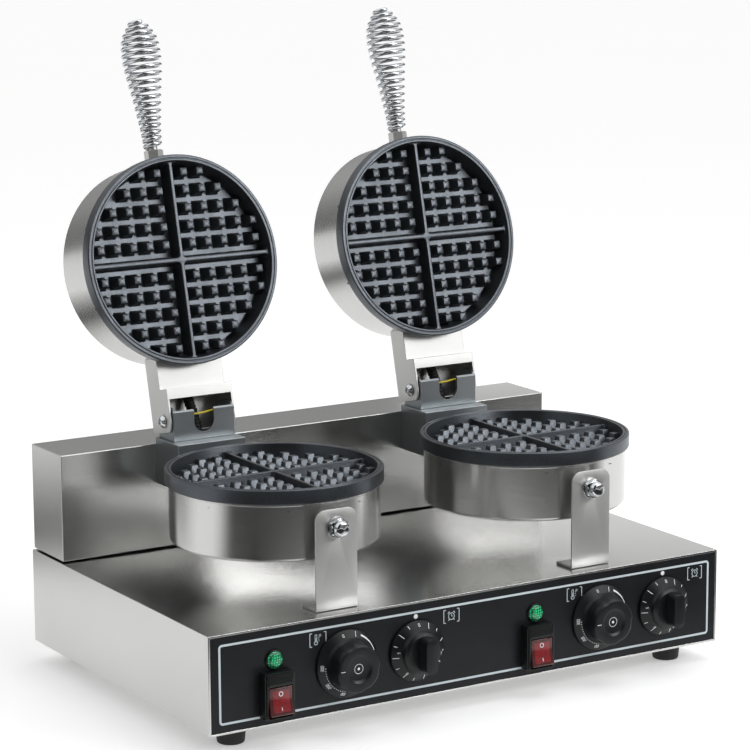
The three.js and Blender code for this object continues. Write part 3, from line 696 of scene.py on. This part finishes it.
def cross_rib():
    """The cross rib, from its rounded top down to a small fillet on the floor."""
    depth = GRID["floor"] - RIB["top"]
    flare = RIB["flare"]
    levels = [
        (0, -0.75), (-0.08, -0.4), (-0.35, -0.08), (-0.8, 0.05),
        (depth + 1.6, flare - 0.1), (depth + 0.5, flare + 0.4), (depth - 0.2, flare + 1.5),
    ]
    rings = []
    for drop, grow in levels:
        z = RIB["top"] + drop
        wall = GRID["wall_top"] - (GRID["wall_top"] - GRID["wall_bottom"]) * z / GRID["floor"]
        outline = cross_outline(RIB["half"] + grow, wall, RIB["fillet"] - grow)
        rings.append([(x, y, z) for x, y in outline])
    body = ring_stack(rings, close_start=False, close_end=False)
    bm = bmesh.new()
    bm.from_mesh(body)
    rim = [e for e in bm.edges if len(e.link_faces) == 1 and e.verts[0].co.z > RIB["top"] - 0.01]
    bmesh.ops.triangle_fill(bm, use_beauty=True, edges=rim, normal=(0, 0, 1))
    return finished(bm)


def peg():
    """One tapered peg about its own axis, with rounded corners, a bevelled top and a filleted foot."""
    floor, top = GRID["floor"], PEG["top"]
    slope = (PEG["foot"] - PEG["half"]) / (top - floor)
    foot, head = PEG["foot"], PEG["half"]
    levels = [
        (floor - 0.1, foot + 1.3), (floor + 0.35, foot + 0.4), (floor + 1.1, foot),
        (top - 0.6, head + 0.6 * slope), (top - 0.15, head - 0.15), (top, head - 0.5),
    ]
    rings = [[(x, y, z) for x, y in rectangle(-half, half, -half, half, corner=0.7)] for z, half in levels]
    return ring_stack(rings, close_start=False)


def peg_places():
    """Peg centres in all four quadrants, those cut by the wall among them."""
    x0, y0 = PEG["first"]
    for i in range(5):
        for j in range(5):
            x, y = x0 + i * PEG["pitch"], y0 + j * PEG["pitch"]
            if math.hypot(x, y) < PEG["reach"]:
                yield from ((x, y), (-x, y), (x, -y), (-x, -y))


def grid_plate():
    bm = bmesh.new()
    bm.from_mesh(plate_ring())
    bm.from_mesh(cross_rib())
    one = peg()
    for x, y in peg_places():
        copy = one.copy()
        copy.transform(Matrix.Translation((x, y, 0)))
        bm.from_mesh(copy)
        bpy.data.meshes.remove(copy)
    return finished(bm, merge=1e-6)


def pan_shell():
    """The drawn steel shell behind a grid plate, with a narrow rolled lip under the cast rim."""
    top = -PAN["rim_height"] - 0.3
    profile = section_of(
        (0, -PAN["depth"], 0), (PAN["shell"], -PAN["depth"], 3.2), (PAN["shell"], top - 1.9, 0.3),
        (PAN["shell"] + 0.7, top - 1.5, 0.5), (PAN["shell"] + 0.7, top, 0.5),
        (PAN["shell"] - 1.5, top, 0.4), (PAN["shell"] - 1.5, -PAN["depth"] + 1.5, 2),
        (0, -PAN["depth"] + 1.5, 0),
    )
    return turned(profile, FINE)


def add_lower_pan(side):
    rim = rim_frame(side)
    add(
        f"lower_pan_{side}", pan_shell(), "steel_turned", "root", rim,
        stands_for=(f"lower_shell_{side}",),
    )
    add(
        f"lower_grid_{side}", grid_plate(), "cast", "root", rim,
        stands_for=(f"lower_plate_{side}",), sharp=28,
    )
    add_front_bracket(side)


def add_front_bracket(side):
    low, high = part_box(f"front_bracket_{side}")
    half = (high.x - low.x) / 2 / MM
    height = (high.z - low.z) / MM
    depth = (high.y - low.y) / MM
    thick, corner, hole = BRACKET["thick"], BRACKET["corner"], BRACKET["hole"]
    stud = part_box(f"front_stud_{side}")
    stud_z = ((stud[0].z + stud[1].z) / 2 - low.z) / MM
    corners = [(-half, thick, 0), (half, thick, 0), (half, height, corner), (-half, height, corner)]
    rim = filleted(corners, step=8)
    upright = sheet([rim, circle(hole, 0, stud_z)], -thick, 0, edge=0.35)
    upright.transform(Matrix.Rotation(math.radians(90), 4, "X"))
    bend = filleted([
        (0, thick + 0.5, 0), (0, 0, 2.2), (depth, 0, 0.3), (depth, thick, 0.3), (thick, thick, 0.4),
        (thick, thick + 0.5, 0),
    ])
    foot = moved(sheet([bend], -half, half, edge=0.3), ALONG_X)
    place = at((low.x + high.x) / 2, low.y, low.z)
    add(
        f"pan_bracket_{side}", joined(upright, foot), "satin_z", "root", place,
        stands_for=(f"front_bracket_{side}",),
    )
    add_dome_nut(side, Vector((place.translation.x, low.y, low.z + stud_z * MM)))
    outer, length = BRACKET["boss"], BRACKET["boss_length"]
    boss = turned(section_of((hole, 0, 0), (outer, 0, 0.5), (outer, length, 0), (hole, length, 0)), SMALL)
    behind = at(place.translation.x, place.translation.y + (thick + 0.3) * MM, low.z + stud_z * MM)
    add(
        f"pan_boss_{side}", boss, "steel_turned", "root",
        behind @ Matrix.Rotation(math.radians(-90), 4, "X"),
    )


def nut(across, low, top, chamfers, *inside):
    """A hexagon nut's two chamfered faces, then the points further in."""
    corner = across / math.sqrt(3)
    bottom_in, bottom_up, top_down, top_in = chamfers
    return turned(section_of(
        (0, low, 0), (corner - bottom_in, low, 0.2), (corner, low + bottom_up, 0.2),
        (corner, top - top_down, 0.2), (corner - top_in, top, 0.2),
        *inside,
    ), FINE, hexagon_across(across))


def add_dome_nut(side, point):
    """A polished dome nut over a thin washer."""
    face, foot, height = STUD["washer_top"], STUD["dome_foot"], STUD["height"]
    washer = turned(section_of(
        (3, 0.1, 0), (STUD["washer"], 0.1, 0.3), (STUD["washer"], face, 0.3), (3, face, 0),
    ), MEDIUM)
    hexagon = nut(STUD["across"], face, height, (0.7, 0.6, 0.8, 1.5), (foot, height, 0.3))
    dome = turned(section_of(
        (foot, height - 0.1, 0), (foot - 0.1, height + 2.2, 3), (foot - 1.2, height + 5.6, 4),
        (0.01, height + STUD["dome"], 0),
        step=6,
    ), MEDIUM)
    add(
        f"dome_nut_{side}", joined(washer, hexagon, dome), "chrome", "root", facing_user(point),
        stands_for=(f"front_stud_{side}",), sharp=25,
    )


# ---- hinges

def add_hinge(side):
    for name, node, width, metal in (
        ("hinge_bracket", "hinge_box", 0.5, "plated"),
        ("hinge_fork", "hinge_clevis", 0.45, "plated"),
        ("lid_bracket", "lid_arm", 0.5, "satin"),
    ):
        looks = [f"{metal}_x", f"{metal}_z"]
        add_refined(f"{name}_{side}", f"{node}_{side}", width, looks, by_axis=(1, 0, 0))
    for which in ("outer", "inner"):
        add_pivot_bolt(side, which)


def add_pivot_bolt(side, which):
    """A round-headed pivot bolt with a round socket in its head."""
    node = f"pivot_bolt_{which}_{side}"
    low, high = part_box(node)
    centre = (low + high) / 2
    outward = 1 if centre.x > Vector(JOINTS[f"lid_hinge_{side}"]["pos_m"]).x else -1
    face = high.x if outward > 0 else low.x
    radius, height = BOLT["head"], BOLT["height"]
    head = turned(section_of(
        (0, -height - 6, 0), (3, -height - 6, 0), (3, -height, 0), (radius, -height, 0.3),
        (radius - 0.2, -height + 1.2, 1), (3.6, -0.5, 1.5), (2.4, -0.1, 0.2), (2.2, -1.6, 0.1),
        (0, -1.9, 0),
    ), 48)
    place = at(face, centre.y, centre.z) @ Matrix.Rotation(math.radians(90 * outward), 4, "Y")
    add(f"pivot_screw_{which}_{side}", head, "chrome", "root", place, stands_for=(node,))


# ---- lids

def add_lid(side):
    body = f"lid_{side}"
    pan = lid_pan_frame(side)
    add(
        f"lid_pan_{side}", pan_shell(), "steel_turned", body, pan,
        stands_for=(f"lid_shell_{side}",),
    )
    add(
        f"lid_grid_{side}", grid_plate(), "cast", body, pan,
        stands_for=(f"lid_plate_{side}",), sharp=28,
    )
    add_handle(side)


def handle_frame(side):
    """At the shell's front on the handle's axis: +Z runs out along the handle."""
    pan = lid_pan_frame(side)
    point = Matrix.Translation((0, PAN["shell"] * MM, -HANDLE["above_rim"] * MM))
    return pan @ point @ Matrix.Rotation(math.radians(-90), 4, "X")


def between_points(points, span, t):
    """The Catmull-Rom curve through points or numbers, at the part t of that span."""
    last = len(points) - 1
    p0, p1 = points[max(span - 1, 0)], points[span]
    p2, p3 = points[span + 1], points[min(span + 2, last)]
    v0, v1 = (p2 - p0) / 2, (p3 - p1) / 2
    return (2 * p1 - 2 * p2 + v0 + v1) * t**3 + (3 * p2 - 3 * p1 - 2 * v0 - v1) * t**2 + v0 * t + p1


def swell(share):
    """The handle's outer radius at a share of its length."""
    spans = len(SPRING_RADII) - 1
    place = min(max(share, 0), 1) * spans
    span = min(int(place), spans - 1)
    return between_points(SPRING_RADII, span, place - span)


def coil_points():
    """The handle's centreline: a coil that swells and narrows, with its turns close together at the ends."""
    wire, turns, end_pitch = SPRING["wire"], SPRING["turns"], SPRING["end_pitch"]
    span = SPRING["length"] - 2 * wire
    count = round(turns * 32)
    for k in range(count + 1):
        t = k / count
        along = turns * end_pitch * t + (span - turns * end_pitch) * (1 - math.cos(math.pi * t)) / 2
        radius = swell(along / span) - wire - 0.4
        angle = 2 * math.pi * turns * t + math.pi / 2
        yield (radius * math.cos(angle), radius * math.sin(angle), along)


def add_handle(side):
    body = f"lid_{side}"
    place = handle_frame(side)
    low = 0.3
    top = low + HANDLE["height"]
    end = top + HANDLE["boss_length"]
    stud = nut(
        HANDLE["across"], low, top, (0.8, 0.6, 0.7, 1.3),
        (HANDLE["boss"], top, 0.3), (HANDLE["boss"], end, 1), (0, end, 0),
    )
    add(
        f"handle_nut_{side}", stud, "satin_z", body, place,
        stands_for=(f"handle_stud_{side}",), sharp=25,
    )
    coil = shifted(tube(coil_points(), SPRING["wire"] - 0.1, 12), z=top + 0.3 + SPRING["wire"])
    coil.transform(place.to_3x3().to_4x4())
    add(
        f"handle_coil_{side}", coil, "chrome", body, Matrix.Translation(place.translation),
        stands_for=(f"handle_spring_{side}",), sharp=60,
    )


# ---- conduits and wires

CONDUIT = (
    (0, 24, -45.5), (0, 10, -44), (0, 0, -35), (0, -2, -22), (0, 0, -8),
    (0, 8, 5), (0, 18, 18), (0, 25, 35), (0, 30, 53),
)
LEAD = ((-24, 13, -16), (-14, 8, -9.5), (0, 5.5, -8), (13, 7, -7), (24, 13, -9))


def curve_through(points, per_span):
    points = [Vector(p) for p in points]
    spans = range(len(points) - 1)
    made = [between_points(points, span, k / per_span) for span in spans for k in range(per_span)]
    return made + [points[-1]]


def add_conduit(side):
    """A ribbed conduit from the housing up into the lid."""
    pivot = Vector(JOINTS[f"lid_hinge_{side}"]["pos_m"])
    path = curve_through(CONDUIT, 14)
    ridge, valley = 5.0, 4.1
    mesh = tube(path, valley, 16, [ridge if k % 3 else valley for k in range(len(path))])
    mesh.transform(Matrix.Scale(MM, 4))
    mesh.materials.append(LOOK["sleeve"])
    smooth(mesh, 60)
    piece = show(f"conduit_ribbed_{side}", mesh, Matrix.Translation(pivot))
    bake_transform(piece)
    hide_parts(f"wire_conduit_{side}")


def add_element_wire(side):
    """A yellow lead that crosses the fork's notch behind its front plate."""
    low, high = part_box(f"hinge_clevis_{side}")
    place = at((low.x + high.x) / 2, low.y, high.z)
    add(f"element_lead_{side}", tube(curve_through(LEAD, 8), 0.9, 10), "yellow", "root", place, sharp=60)


# ---- controls

# (radius, height) at a skirt's outer and inner ends
TEMP_SKIRT = ((TEMP["radius"], TEMP["skirt_edge"]), (TEMP["grip"], TEMP["skirt_top"]))
TIMER_SKIRT = ((TIMER["radius"], TIMER["skirt_edge"]), (TIMER["grip"], TIMER["skirt_top"]))


def clock_direction(clock):
    """The direction of an hour on a dial that faces the user."""
    angle = math.radians(90 - 30 * clock)
    return Vector((math.cos(angle), math.sin(angle), 0))


def skirt_point(skirt, radius, clock):
    (r0, z0), (r1, z1) = skirt
    height = z0 + (z1 - z0) * (r0 - radius) / (r0 - r1)
    return clock_direction(clock) * radius + Vector((0, 0, height))


def skirt_normal(skirt, clock):
    (r0, z0), (r1, z1) = skirt
    return (clock_direction(clock) * (z1 - z0) + Vector((0, 0, r0 - r1))).normalized()


def skirt_tick(skirt, inner, outer, clock, width):
    ends = [skirt_point(skirt, radius, clock) for radius in (inner, outer)]
    return inlay(ends, width, skirt_normal(skirt, clock))


def on_skirt(mesh, skirt, radius, clock):
    """Lays a flat mark on a dial's sloping skirt, with its top outward."""
    up = skirt_normal(skirt, clock)
    across = clock_direction(clock).cross(up).normalized()
    outward = up.cross(across)
    turn = Matrix((across, outward, up)).transposed().to_4x4()
    return moved(mesh, Matrix.Translation(skirt_point(skirt, radius, clock)) @ turn)


def knob_frame(node):
    """A knob's body, its frame on the panel, and its height in millimetres."""
    low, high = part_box(node)
    return NODES[node]["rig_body"], on_panel(node, high.y), (high.y - low.y) / MM


def add_temperature_knob(side):
    node = f"temp_knob_{side}"
    body, place, face = knob_frame(node)

    def grip(angle, radius, height):
        """Six scallops round the grip, above its foot and outside its dished face."""
        foot, dish = 8.5, 14
        if height < foot or radius < dish:
            return radius
        scallop = max(0.0, math.cos(6 * angle + 0.9)) ** 1.5
        depth = min(1.0, (height - foot) / 2.5) * 0.9
        return radius - depth * scallop

    dimple = face - 2.2
    dial = turned(section_of(
        (0, 0, 0), (TEMP["radius"], 0, 0.4), (TEMP["radius"], TEMP["skirt_edge"], 0.9),
        (TEMP["grip"], TEMP["skirt_top"], 1.2), (23, 9.5, 0.6), (22.4, face - 5, 2),
        (21.5, face - 0.7, 1.4), (19.6, face, 1.0), (13.1, face, 0.8), (10.6, face - 1.8, 1.6),
        (0, dimple, 0),
        step=15,
    ), 120, grip)
    add(
        f"temperature_dial_{side}", dial, "knob", body, place,
        stands_for=(node,), sharp=40,
    )
    marks = [
        ring_of_print(4.4, 0.55, z=dimple + 0.05),
        turned([(0, dimple), (1.2, dimple), (1.2, dimple + 0.15), (0, dimple + 0.16)], 24),
        inlay([(-14.6, 0, face), (-19.2, 0, face)], 0.45),
    ]
    for text, clock in (("300", 9.0), ("200", 7.7), ("100", 6.4), ("0", 11.6)):
        marks.append(on_skirt(numerals(text, 2.6, 0.35), TEMP_SKIRT, 27.2, clock))
    for k in range(15):
        spot = turned([(0, 0), (0.4, 0), (0.4, 0.1), (0, 0.12)], 12)
        marks.append(on_skirt(spot, TEMP_SKIRT, 24.7, 6.4 + 2.6 * k / 14))
    wedge = [k / 24 for k in range(25)]
    arc = [0.9 + 2.0 * t for t in wedge]
    marks.append(inlay(
        [skirt_point(TEMP_SKIRT, 27.6, clock) for clock in arc],
        [1.9 - 1.6 * t for t in wedge],
        [skirt_normal(TEMP_SKIRT, clock) for clock in arc],
    ))
    marks.append(skirt_tick(TEMP_SKIRT, 25.4, 29.6, 0.5, 0.5))
    add(f"temperature_marks_{side}", joined(*marks), "print_white", body, place)


def add_timer_knob(side):
    node = f"timer_knob_{side}"
    body, place, height = knob_frame(node)
    dial = turned(section_of(
        (0, 0, 0), (TIMER["radius"], 0, 0.4), (TIMER["radius"], TIMER["skirt_edge"], 0.9),
        (TIMER["grip"], TIMER["skirt_top"], 1.5), (19, 11.5, 1.5), (16, 13.3, 1.2), (0, 13.4, 0),
        step=15,
    ), 96)
    outline = filleted([(-6, -16, 5.9), (6, -16, 5.9), (6, 16, 5.9), (-6, 16, 5.9)], step=10)
    bar = sheet([outline], 8, height, edge=0.9)
    add(
        f"timer_dial_{side}", joined(dial, bar), "knob", body, place,
        stands_for=(node,), sharp=40,
    )
    marks = [on_skirt(numerals("0", 2.8, 0.4), TIMER_SKIRT, 24.6, 0)]
    for k in range(1, 15):
        inner = 22.2 if k % 2 else 24.2
        marks.append(skirt_tick(TIMER_SKIRT, inner, 27.0, 0.8 * k, 0.55))
    for text, clock in (("5", 9.2), ("10", 7.2), ("15", 5.2), ("20", 3.4)):
        marks.append(on_skirt(numerals(text, 2.2, 0.3), TIMER_SKIRT, 22.6, clock))
    add(f"timer_marks_{side}", joined(*marks), "print_white", body, place)


def add_switch(side):
    """A deep bezel whose upper end steps out in terraces above the rocker."""
    node = f"switch_housing_{side}"
    half_x, half_y, proud = SWITCH["x"], SWITCH["y"], SWITCH["proud"] - 0.1
    reach_x, reach_y = SWITCH["window"]

    def opening(grow, corner):
        x, low, high = reach_x + grow, -SWITCH["drop"] - reach_y - grow, -SWITCH["drop"] + reach_y + grow
        return rectangle(-x, x, low, high, corner)

    window = opening(0, 1.2)
    rim = rectangle(-half_x, half_x, -half_y, half_y, 2.2)
    step = rectangle(1.5 - half_x, half_x - 1.5, 1.5 - half_y, half_y - 1.5, 1.6)
    layers = [
        sheet([rim, window], 0.3, proud, edge=0.8),
        sheet([step, window], proud - 0.2, proud + 1.4, edge=0.3),
    ]
    for k, (inset, foot, top) in enumerate(TERRACES):
        terrace = rectangle(inset - half_x, half_x - inset, foot, top, 0.8)
        layers.append(sheet([terrace], proud + 1.2, proud + 1.8 + 0.35 * k, edge=0.18))
    layers.append(sheet([opening(0.4, 1.3)], -4, -3))
    layers.append(sheet([opening(0.6, 1.3), window], -4, 0.4, edge=0))
    add(
        f"switch_bezel_{side}", joined(*layers), "bezel", "root", on_panel(node),
        stands_for=(node,), sharp=40,
    )


def rocker_section(half, front, valley, back, corner):
    """The rocker's side outline, a shallow V towards the user, as (depth, height) points."""
    return filleted([
        (back, 2 - half, 1), (back, half - 2, 1),
        (-front, half, corner), (-valley, 0, 30), (-front, -half, corner),
    ], step=4)


def add_rocker(side):
    """A deep red rocker with a brighter window in its face, and O and I marks."""
    node = f"rocker_{side}"
    body = NODES[node]["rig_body"]
    pivot = Vector(JOINTS[f"rocker_tilt_{side}"]["pos_m"])
    place = Matrix.Translation(pivot) @ Matrix.Rotation(math.radians(ROCKER_TILT), 4, "X")
    cap = moved(sheet([rocker_section(**ROCKER)], -11.4, 11.4, edge=0.9), ALONG_X)
    add(f"rocker_cap_{side}", cap, "red_deep", body, place, stands_for=(node,), sharp=40)
    window = moved(sheet([rocker_section(**ROCKER_WINDOW)], -8.3, 8.3, edge=0.12), ALONG_X)
    add(f"rocker_window_{side}", window, "red", body, place, sharp=40)

    def face(height):
        return -4.42 - 0.165 * abs(height)

    ring = [(1.9 * math.cos(a), face(6.6 + 1.9 * math.sin(a)), 6.6 + 1.9 * math.sin(a))
            for a in (2 * math.pi * k / 24 for k in range(24))]
    bar = [(0, face(-8.2), -8.2), (0, face(-5.2), -5.2)]
    marks = joined(inlay(ring, 0.55, (0, -1, 0), closed=True), inlay(bar, 0.55, (0, -1, 0)))
    add(f"rocker_marks_{side}", marks, "print_white", body, place)


def add_lamp(side):
    node = f"indicator_lamp_{side}"
    place = on_panel(node)
    radius, proud = LAMP["radius"], LAMP["proud"]
    ring = turned(section_of(
        (radius - 1.6, 0.3, 0), (radius, 0.3, 0.3), (radius, 1.5, 0.6),
        (radius - 0.9, 2.2, 0.4), (radius - 1.3, 1.0, 0.1), (radius - 1.6, 1.0, 0),
    ), MEDIUM)
    add(f"lamp_ring_{side}", ring, "bezel", "root", place)
    dome = turned(section_of(
        (radius - 1.2, 0.3, 0), (radius - 1.2, 2.3, 1.2), (radius - 3, proud - 0.5, 2.2), (0.01, proud, 0),
        step=8,
    ), 48)
    add(f"lamp_lens_{side}", dome, "green", "root", place, stands_for=(node,), sharp=60)


# ---- print on the panel

# An icon's strokes are (x0, y0, x1, y1, width), and its rings are (x, y, radius, width, facets).
BRACKETS = [
    (-6, 6, -8.2, 6, 0.7), (-8.2, 6, -8.2, -6, 0.7), (-8.2, -6, -6, -6, 0.7),
    (6, 6, 8.2, 6, 0.7), (8.2, 6, 8.2, -6, 0.7), (8.2, -6, 6, -6, 0.7),
]
THERMOMETER = [
    (-2.9, -1.4, -2.9, 4.2, 0.5), (-1.1, -1.4, -1.1, 4.2, 0.5), (-2.9, 4.4, -1.1, 4.4, 0.5),
    (-2, -3, -2, 1.5, 0.5), (0.4, -1.5, 1.6, -1.5, 0.4), (0.4, 0.2, 1.6, 0.2, 0.4), (0.4, 1.9, 1.6, 1.9, 0.4),
], [(-2, -3, 1.7, 0.6, 24), (2.2, 3.4, 0.9, 0.4, 16)]
ALARM_CLOCK = [
    (0, -0.3, 0, 1.7, 0.5), (0, -0.3, 1.4, -0.3, 0.5), (-2.0, 4.2, -3.8, 2.6, 0.8),
    (-2.2, -2.8, -3.2, -4.2, 0.6), (2.0, 4.2, 3.8, 2.6, 0.8), (2.2, -2.8, 3.2, -4.2, 0.6),
], [(0, -0.3, 3.1, 0.6, 24)]


ICON_UP = 26                  # from a knob's axis
THERMOMETER_LEFT, CLOCK_RIGHT = 28.5, 38
BORDER = {"inset_x": 8.5, "inset_z": 7.5, "corner": 2.5, "width": 2.0}
DOT = {"radius": 2.1, "up": 31.2}


def icon(x, y, strokes, rings):
    """An icon in square brackets round that point."""
    lines = [inlay([(x + x0, y + y0, 0), (x + x1, y + y1, 0)], width)
             for x0, y0, x1, y1, width in BRACKETS + strokes]
    return lines + [ring_of_print(radius, width, x + x0, y + y0, count=facets)
                    for x0, y0, radius, width, facets in rings]


def add_panel_print():
    low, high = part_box("control_panel")
    centre = (low + high) / 2
    place = facing_user((centre.x, PANEL_FACE, centre.z))
    half_x = (high.x - low.x) / 2 / MM - BORDER["inset_x"]
    half_y = (high.z - low.z) / 2 / MM - BORDER["inset_z"]
    outline = rectangle(-half_x, half_x, -half_y, half_y, BORDER["corner"])
    border = inlay([(x, y, 0) for x, y in outline], BORDER["width"], closed=True)
    add("panel_border", border, "print", "root", place)
    knob_z = -(centre.z - middle("temp_knob_left").z) / MM
    for side in SIDES:
        temp = (middle(f"temp_knob_{side}").x - centre.x) / MM
        timer = (middle(f"timer_knob_{side}").x - centre.x) / MM
        marks = icon(temp - THERMOMETER_LEFT, knob_z + ICON_UP, *THERMOMETER)
        marks += icon(timer + CLOCK_RIGHT, knob_z + ICON_UP, *ALARM_CLOCK)
        add(f"panel_icons_{side}", joined(*marks), "print", "root", place)
        dot = turned([(0, -0.1), (DOT["radius"], -0.1), (DOT["radius"], 0.12), (0, 0.14)], SMALL)
        add(f"panel_dot_{side}", shifted(dot, timer, knob_z + DOT["up"]), "print_white", "root", place)


# ---- camera, floor and light

SKY = [(0.0, 0.20), (0.14, 0.20), (0.3, 0.40), (0.5, 1.05), (1.0, 1.20)]     # (height, grey)
VIEWER = (-0.5215, -0.8533, 0.0)     # towards the camera, level
VIEWER_SIDE = {"cosines": (0.80, 0.90), "shares": (1.0, 0.03)}   # how the sky darkens on that side
FLOOR_GLOW = 0.95                    # how bright the floor looks in a reflection
FLAGS = {                            # name: (from degree, to degree, soft degrees, from metres, to metres)
    "front": (182, 334, 16, 0.40, 4.0),
    "rear_left": (84, 160, 22, 0.60, 1.3),
}
CAMERA_AT = (-1.40395, -2.30766, 0.81166)
CAMERA_TURN = (-31.429, 11.199, -0.323)      # yaw, pitch and roll in degrees


def add_camera():
    yaw, pitch, roll = (math.radians(angle) for angle in CAMERA_TURN)
    back = Vector((
        math.sin(yaw) * math.cos(pitch),
        -math.cos(yaw) * math.cos(pitch),
        math.sin(pitch),
    ))
    right = Vector((math.cos(yaw), math.sin(yaw), 0))
    axes = Matrix((right, back.cross(right), back)).transposed().to_4x4()
    data = bpy.data.cameras.new("camera")
    data.sensor_width = 36
    data.lens = 139.72
    data.clip_end = 100
    place = at(*CAMERA_AT) @ axes @ Matrix.Rotation(roll, 4, "Z")
    bpy.context.scene.camera = show("camera", data, place)


def add_floor():
    made = Surface("floor_pale", (0.80, 0.80, 0.80), 0.7, Emission_Color=(1, 1, 1, 1), Emission_Strength=0.30)
    made.vary_colour(made.noise(2), 0.995, 1.005)
    size = 20
    corners = [(-size, -size, 0), (size, -size, 0), (size, size, 0), (-size, size, 0)]
    stage_card("floor", corners, [(0, 1, 2, 3)], made.material, cad_low.z - 0.0002)


def stage_card(name, corners, faces, material, z):
    mesh = bpy.data.meshes.new(name)
    mesh.from_pydata(corners, [], faces)
    mesh.materials.append(material)
    card = show(name, mesh)
    card.location.z = z
    return card


def add_world():
    """A white room: bright overhead, greyer low down, and dark on the side that the viewer stands on."""
    world = bpy.data.worlds.new("studio")
    world.use_nodes = True
    nodes, links = world.node_tree.nodes, world.node_tree.links

    def vector_math(operation, source, other=None):
        made = nodes.new("ShaderNodeVectorMath")
        made.operation = operation
        links.new(source, made.inputs[0])
        if other:
            made.inputs[1].default_value = other
        return made

    place = nodes.new("ShaderNodeTexCoord").outputs["Generated"]
    split = nodes.new("ShaderNodeSeparateXYZ")
    ramp = nodes.new("ShaderNodeValToRGB")
    links.new(place, split.inputs["Vector"])
    links.new(split.outputs["Z"], ramp.inputs["Fac"])
    while len(ramp.color_ramp.elements) < len(SKY):
        ramp.color_ramp.elements.new(0.5)
    for element, (position, grey) in zip(ramp.color_ramp.elements, SKY):
        element.position = position
        element.color = (grey, grey, grey, 1)
    level = vector_math("MULTIPLY", place, (1, 1, 0))
    heading = vector_math("NORMALIZE", level.outputs["Vector"])
    towards = vector_math("DOT_PRODUCT", heading.outputs["Vector"], Vector(VIEWER).normalized())
    dark = nodes.new("ShaderNodeMapRange")
    dark.interpolation_type = "SMOOTHSTEP"
    (from_min, from_max), (to_min, to_max) = VIEWER_SIDE["cosines"], VIEWER_SIDE["shares"]
    set_inputs(dark, From_Min=from_min, From_Max=from_max, To_Min=to_min, To_Max=to_max)
    links.new(towards.outputs["Value"], dark.inputs["Value"])
    product = vector_math("SCALE", ramp.outputs["Color"])
    links.new(dark.outputs["Result"], product.inputs["Scale"])
    links.new(product.outputs["Vector"], nodes["Background"].inputs["Color"])
    nodes["Background"].inputs["Strength"].default_value = 1.0
    bpy.context.scene.world = world


def add_flag(name, start, end, soft, near, far):
    """A dark card on the floor that only reflections see, as studios use to draw dark bands in steel.

    It fades to the floor's brightness over its first and last `soft` degrees and at its near and far ends.
    """
    made = Surface(f"flag_{name}", (0, 0, 0), 0.9, Emission_Color=(1, 1, 1, 1))
    fade = made.node("Attribute")
    fade.attribute_name = "glow"
    made.links.new(fade.outputs["Fac"], made.shader.inputs["Emission Strength"])
    steps = 48
    angles = [start + (end - start) * k / steps for k in range(steps + 1)]
    rings = ((near, 0), (near * 1.3, 1), (far * 0.6, 1), (far, 0))
    corners, glow = [], []
    for reach, dark in rings:
        for angle in angles:
            turn = math.radians(angle)
            corners.append((reach * math.cos(turn), reach * math.sin(turn), 0))
            inside = min(1.0, min(angle - start, end - angle) / soft)
            glow.append(FLOOR_GLOW * (1 - dark * inside * inside * (3 - 2 * inside)))
    across = steps + 1
    faces = [(j * across + k, j * across + k + 1, (j + 1) * across + k + 1, (j + 1) * across + k)
             for j in range(len(rings) - 1) for k in range(steps)]
    flag = stage_card(f"flag_{name}", corners, faces, made.material, cad_low.z + 0.0003)
    flag.data.attributes.new("glow", "FLOAT", "POINT").data.foreach_set("value", glow)
    flag.visible_camera = False
    flag.visible_diffuse = False
    flag.visible_shadow = False


def add_area_light(name, location, target, size, watts):
    data = bpy.data.lights.new(name, "AREA")
    data.shape = "RECTANGLE"
    data.size, data.size_y = size
    data.energy = watts
    lamp = show(name, data)
    lamp.location = location
    towards = Vector(target) - Vector(location)
    lamp.rotation_euler = towards.to_track_quat("-Z", "Y").to_euler()
    return lamp


def add_studio():
    add_camera()
    add_floor()
    add_world()
    for name, sector in FLAGS.items():
        add_flag(name, *sector)
    add_area_light("overhead", (0.3, -0.6, 2.6), (0, 0, 0.2), (1.6, 1.6), 14)
    rear = add_area_light("rear_right", (0.78, 0.62, 0.22), (0.30, -0.05, 0.10), (0.6, 0.3), 0.35)
    rear.visible_camera = False
    add_area_light("plates", (0.78, -1.25, 0.86), (0, 0.12, 0.42), (0.95, 0.36), 7.6)
    bpy.context.scene.view_settings.view_transform = "Standard"


# ---- carried-over CAD nodes

def dress_hidden_nodes():
    """Gives every CAD node that still shows a detailed material."""
    looks = {
        "base_floor": "steel_x", "cable_gland": "inner", "terminal_block": "ceramic",
        "lower_element": "element", "lid_element": "element", "thermostat": "inner",
        "timer_movement": "inner", "temp_spindle": "chrome", "timer_spindle": "chrome",
    }
    for name, node in NODES.items():
        if node.hide_render:
            continue
        key = name.removesuffix("_left").removesuffix("_right")
        node.data.materials.clear()
        node.data.materials.append(LOOK[looks.get(key, "inner")])


# ---- the whole

add_studio()
add_base()
for side in SIDES:
    add_lower_pan(side)
    add_hinge(side)
    add_lid(side)
    add_conduit(side)
    add_element_wire(side)
    add_temperature_knob(side)
    add_timer_knob(side)
    add_switch(side)
    add_rocker(side)
    add_lamp(side)
add_panel_print()
dress_hidden_nodes()
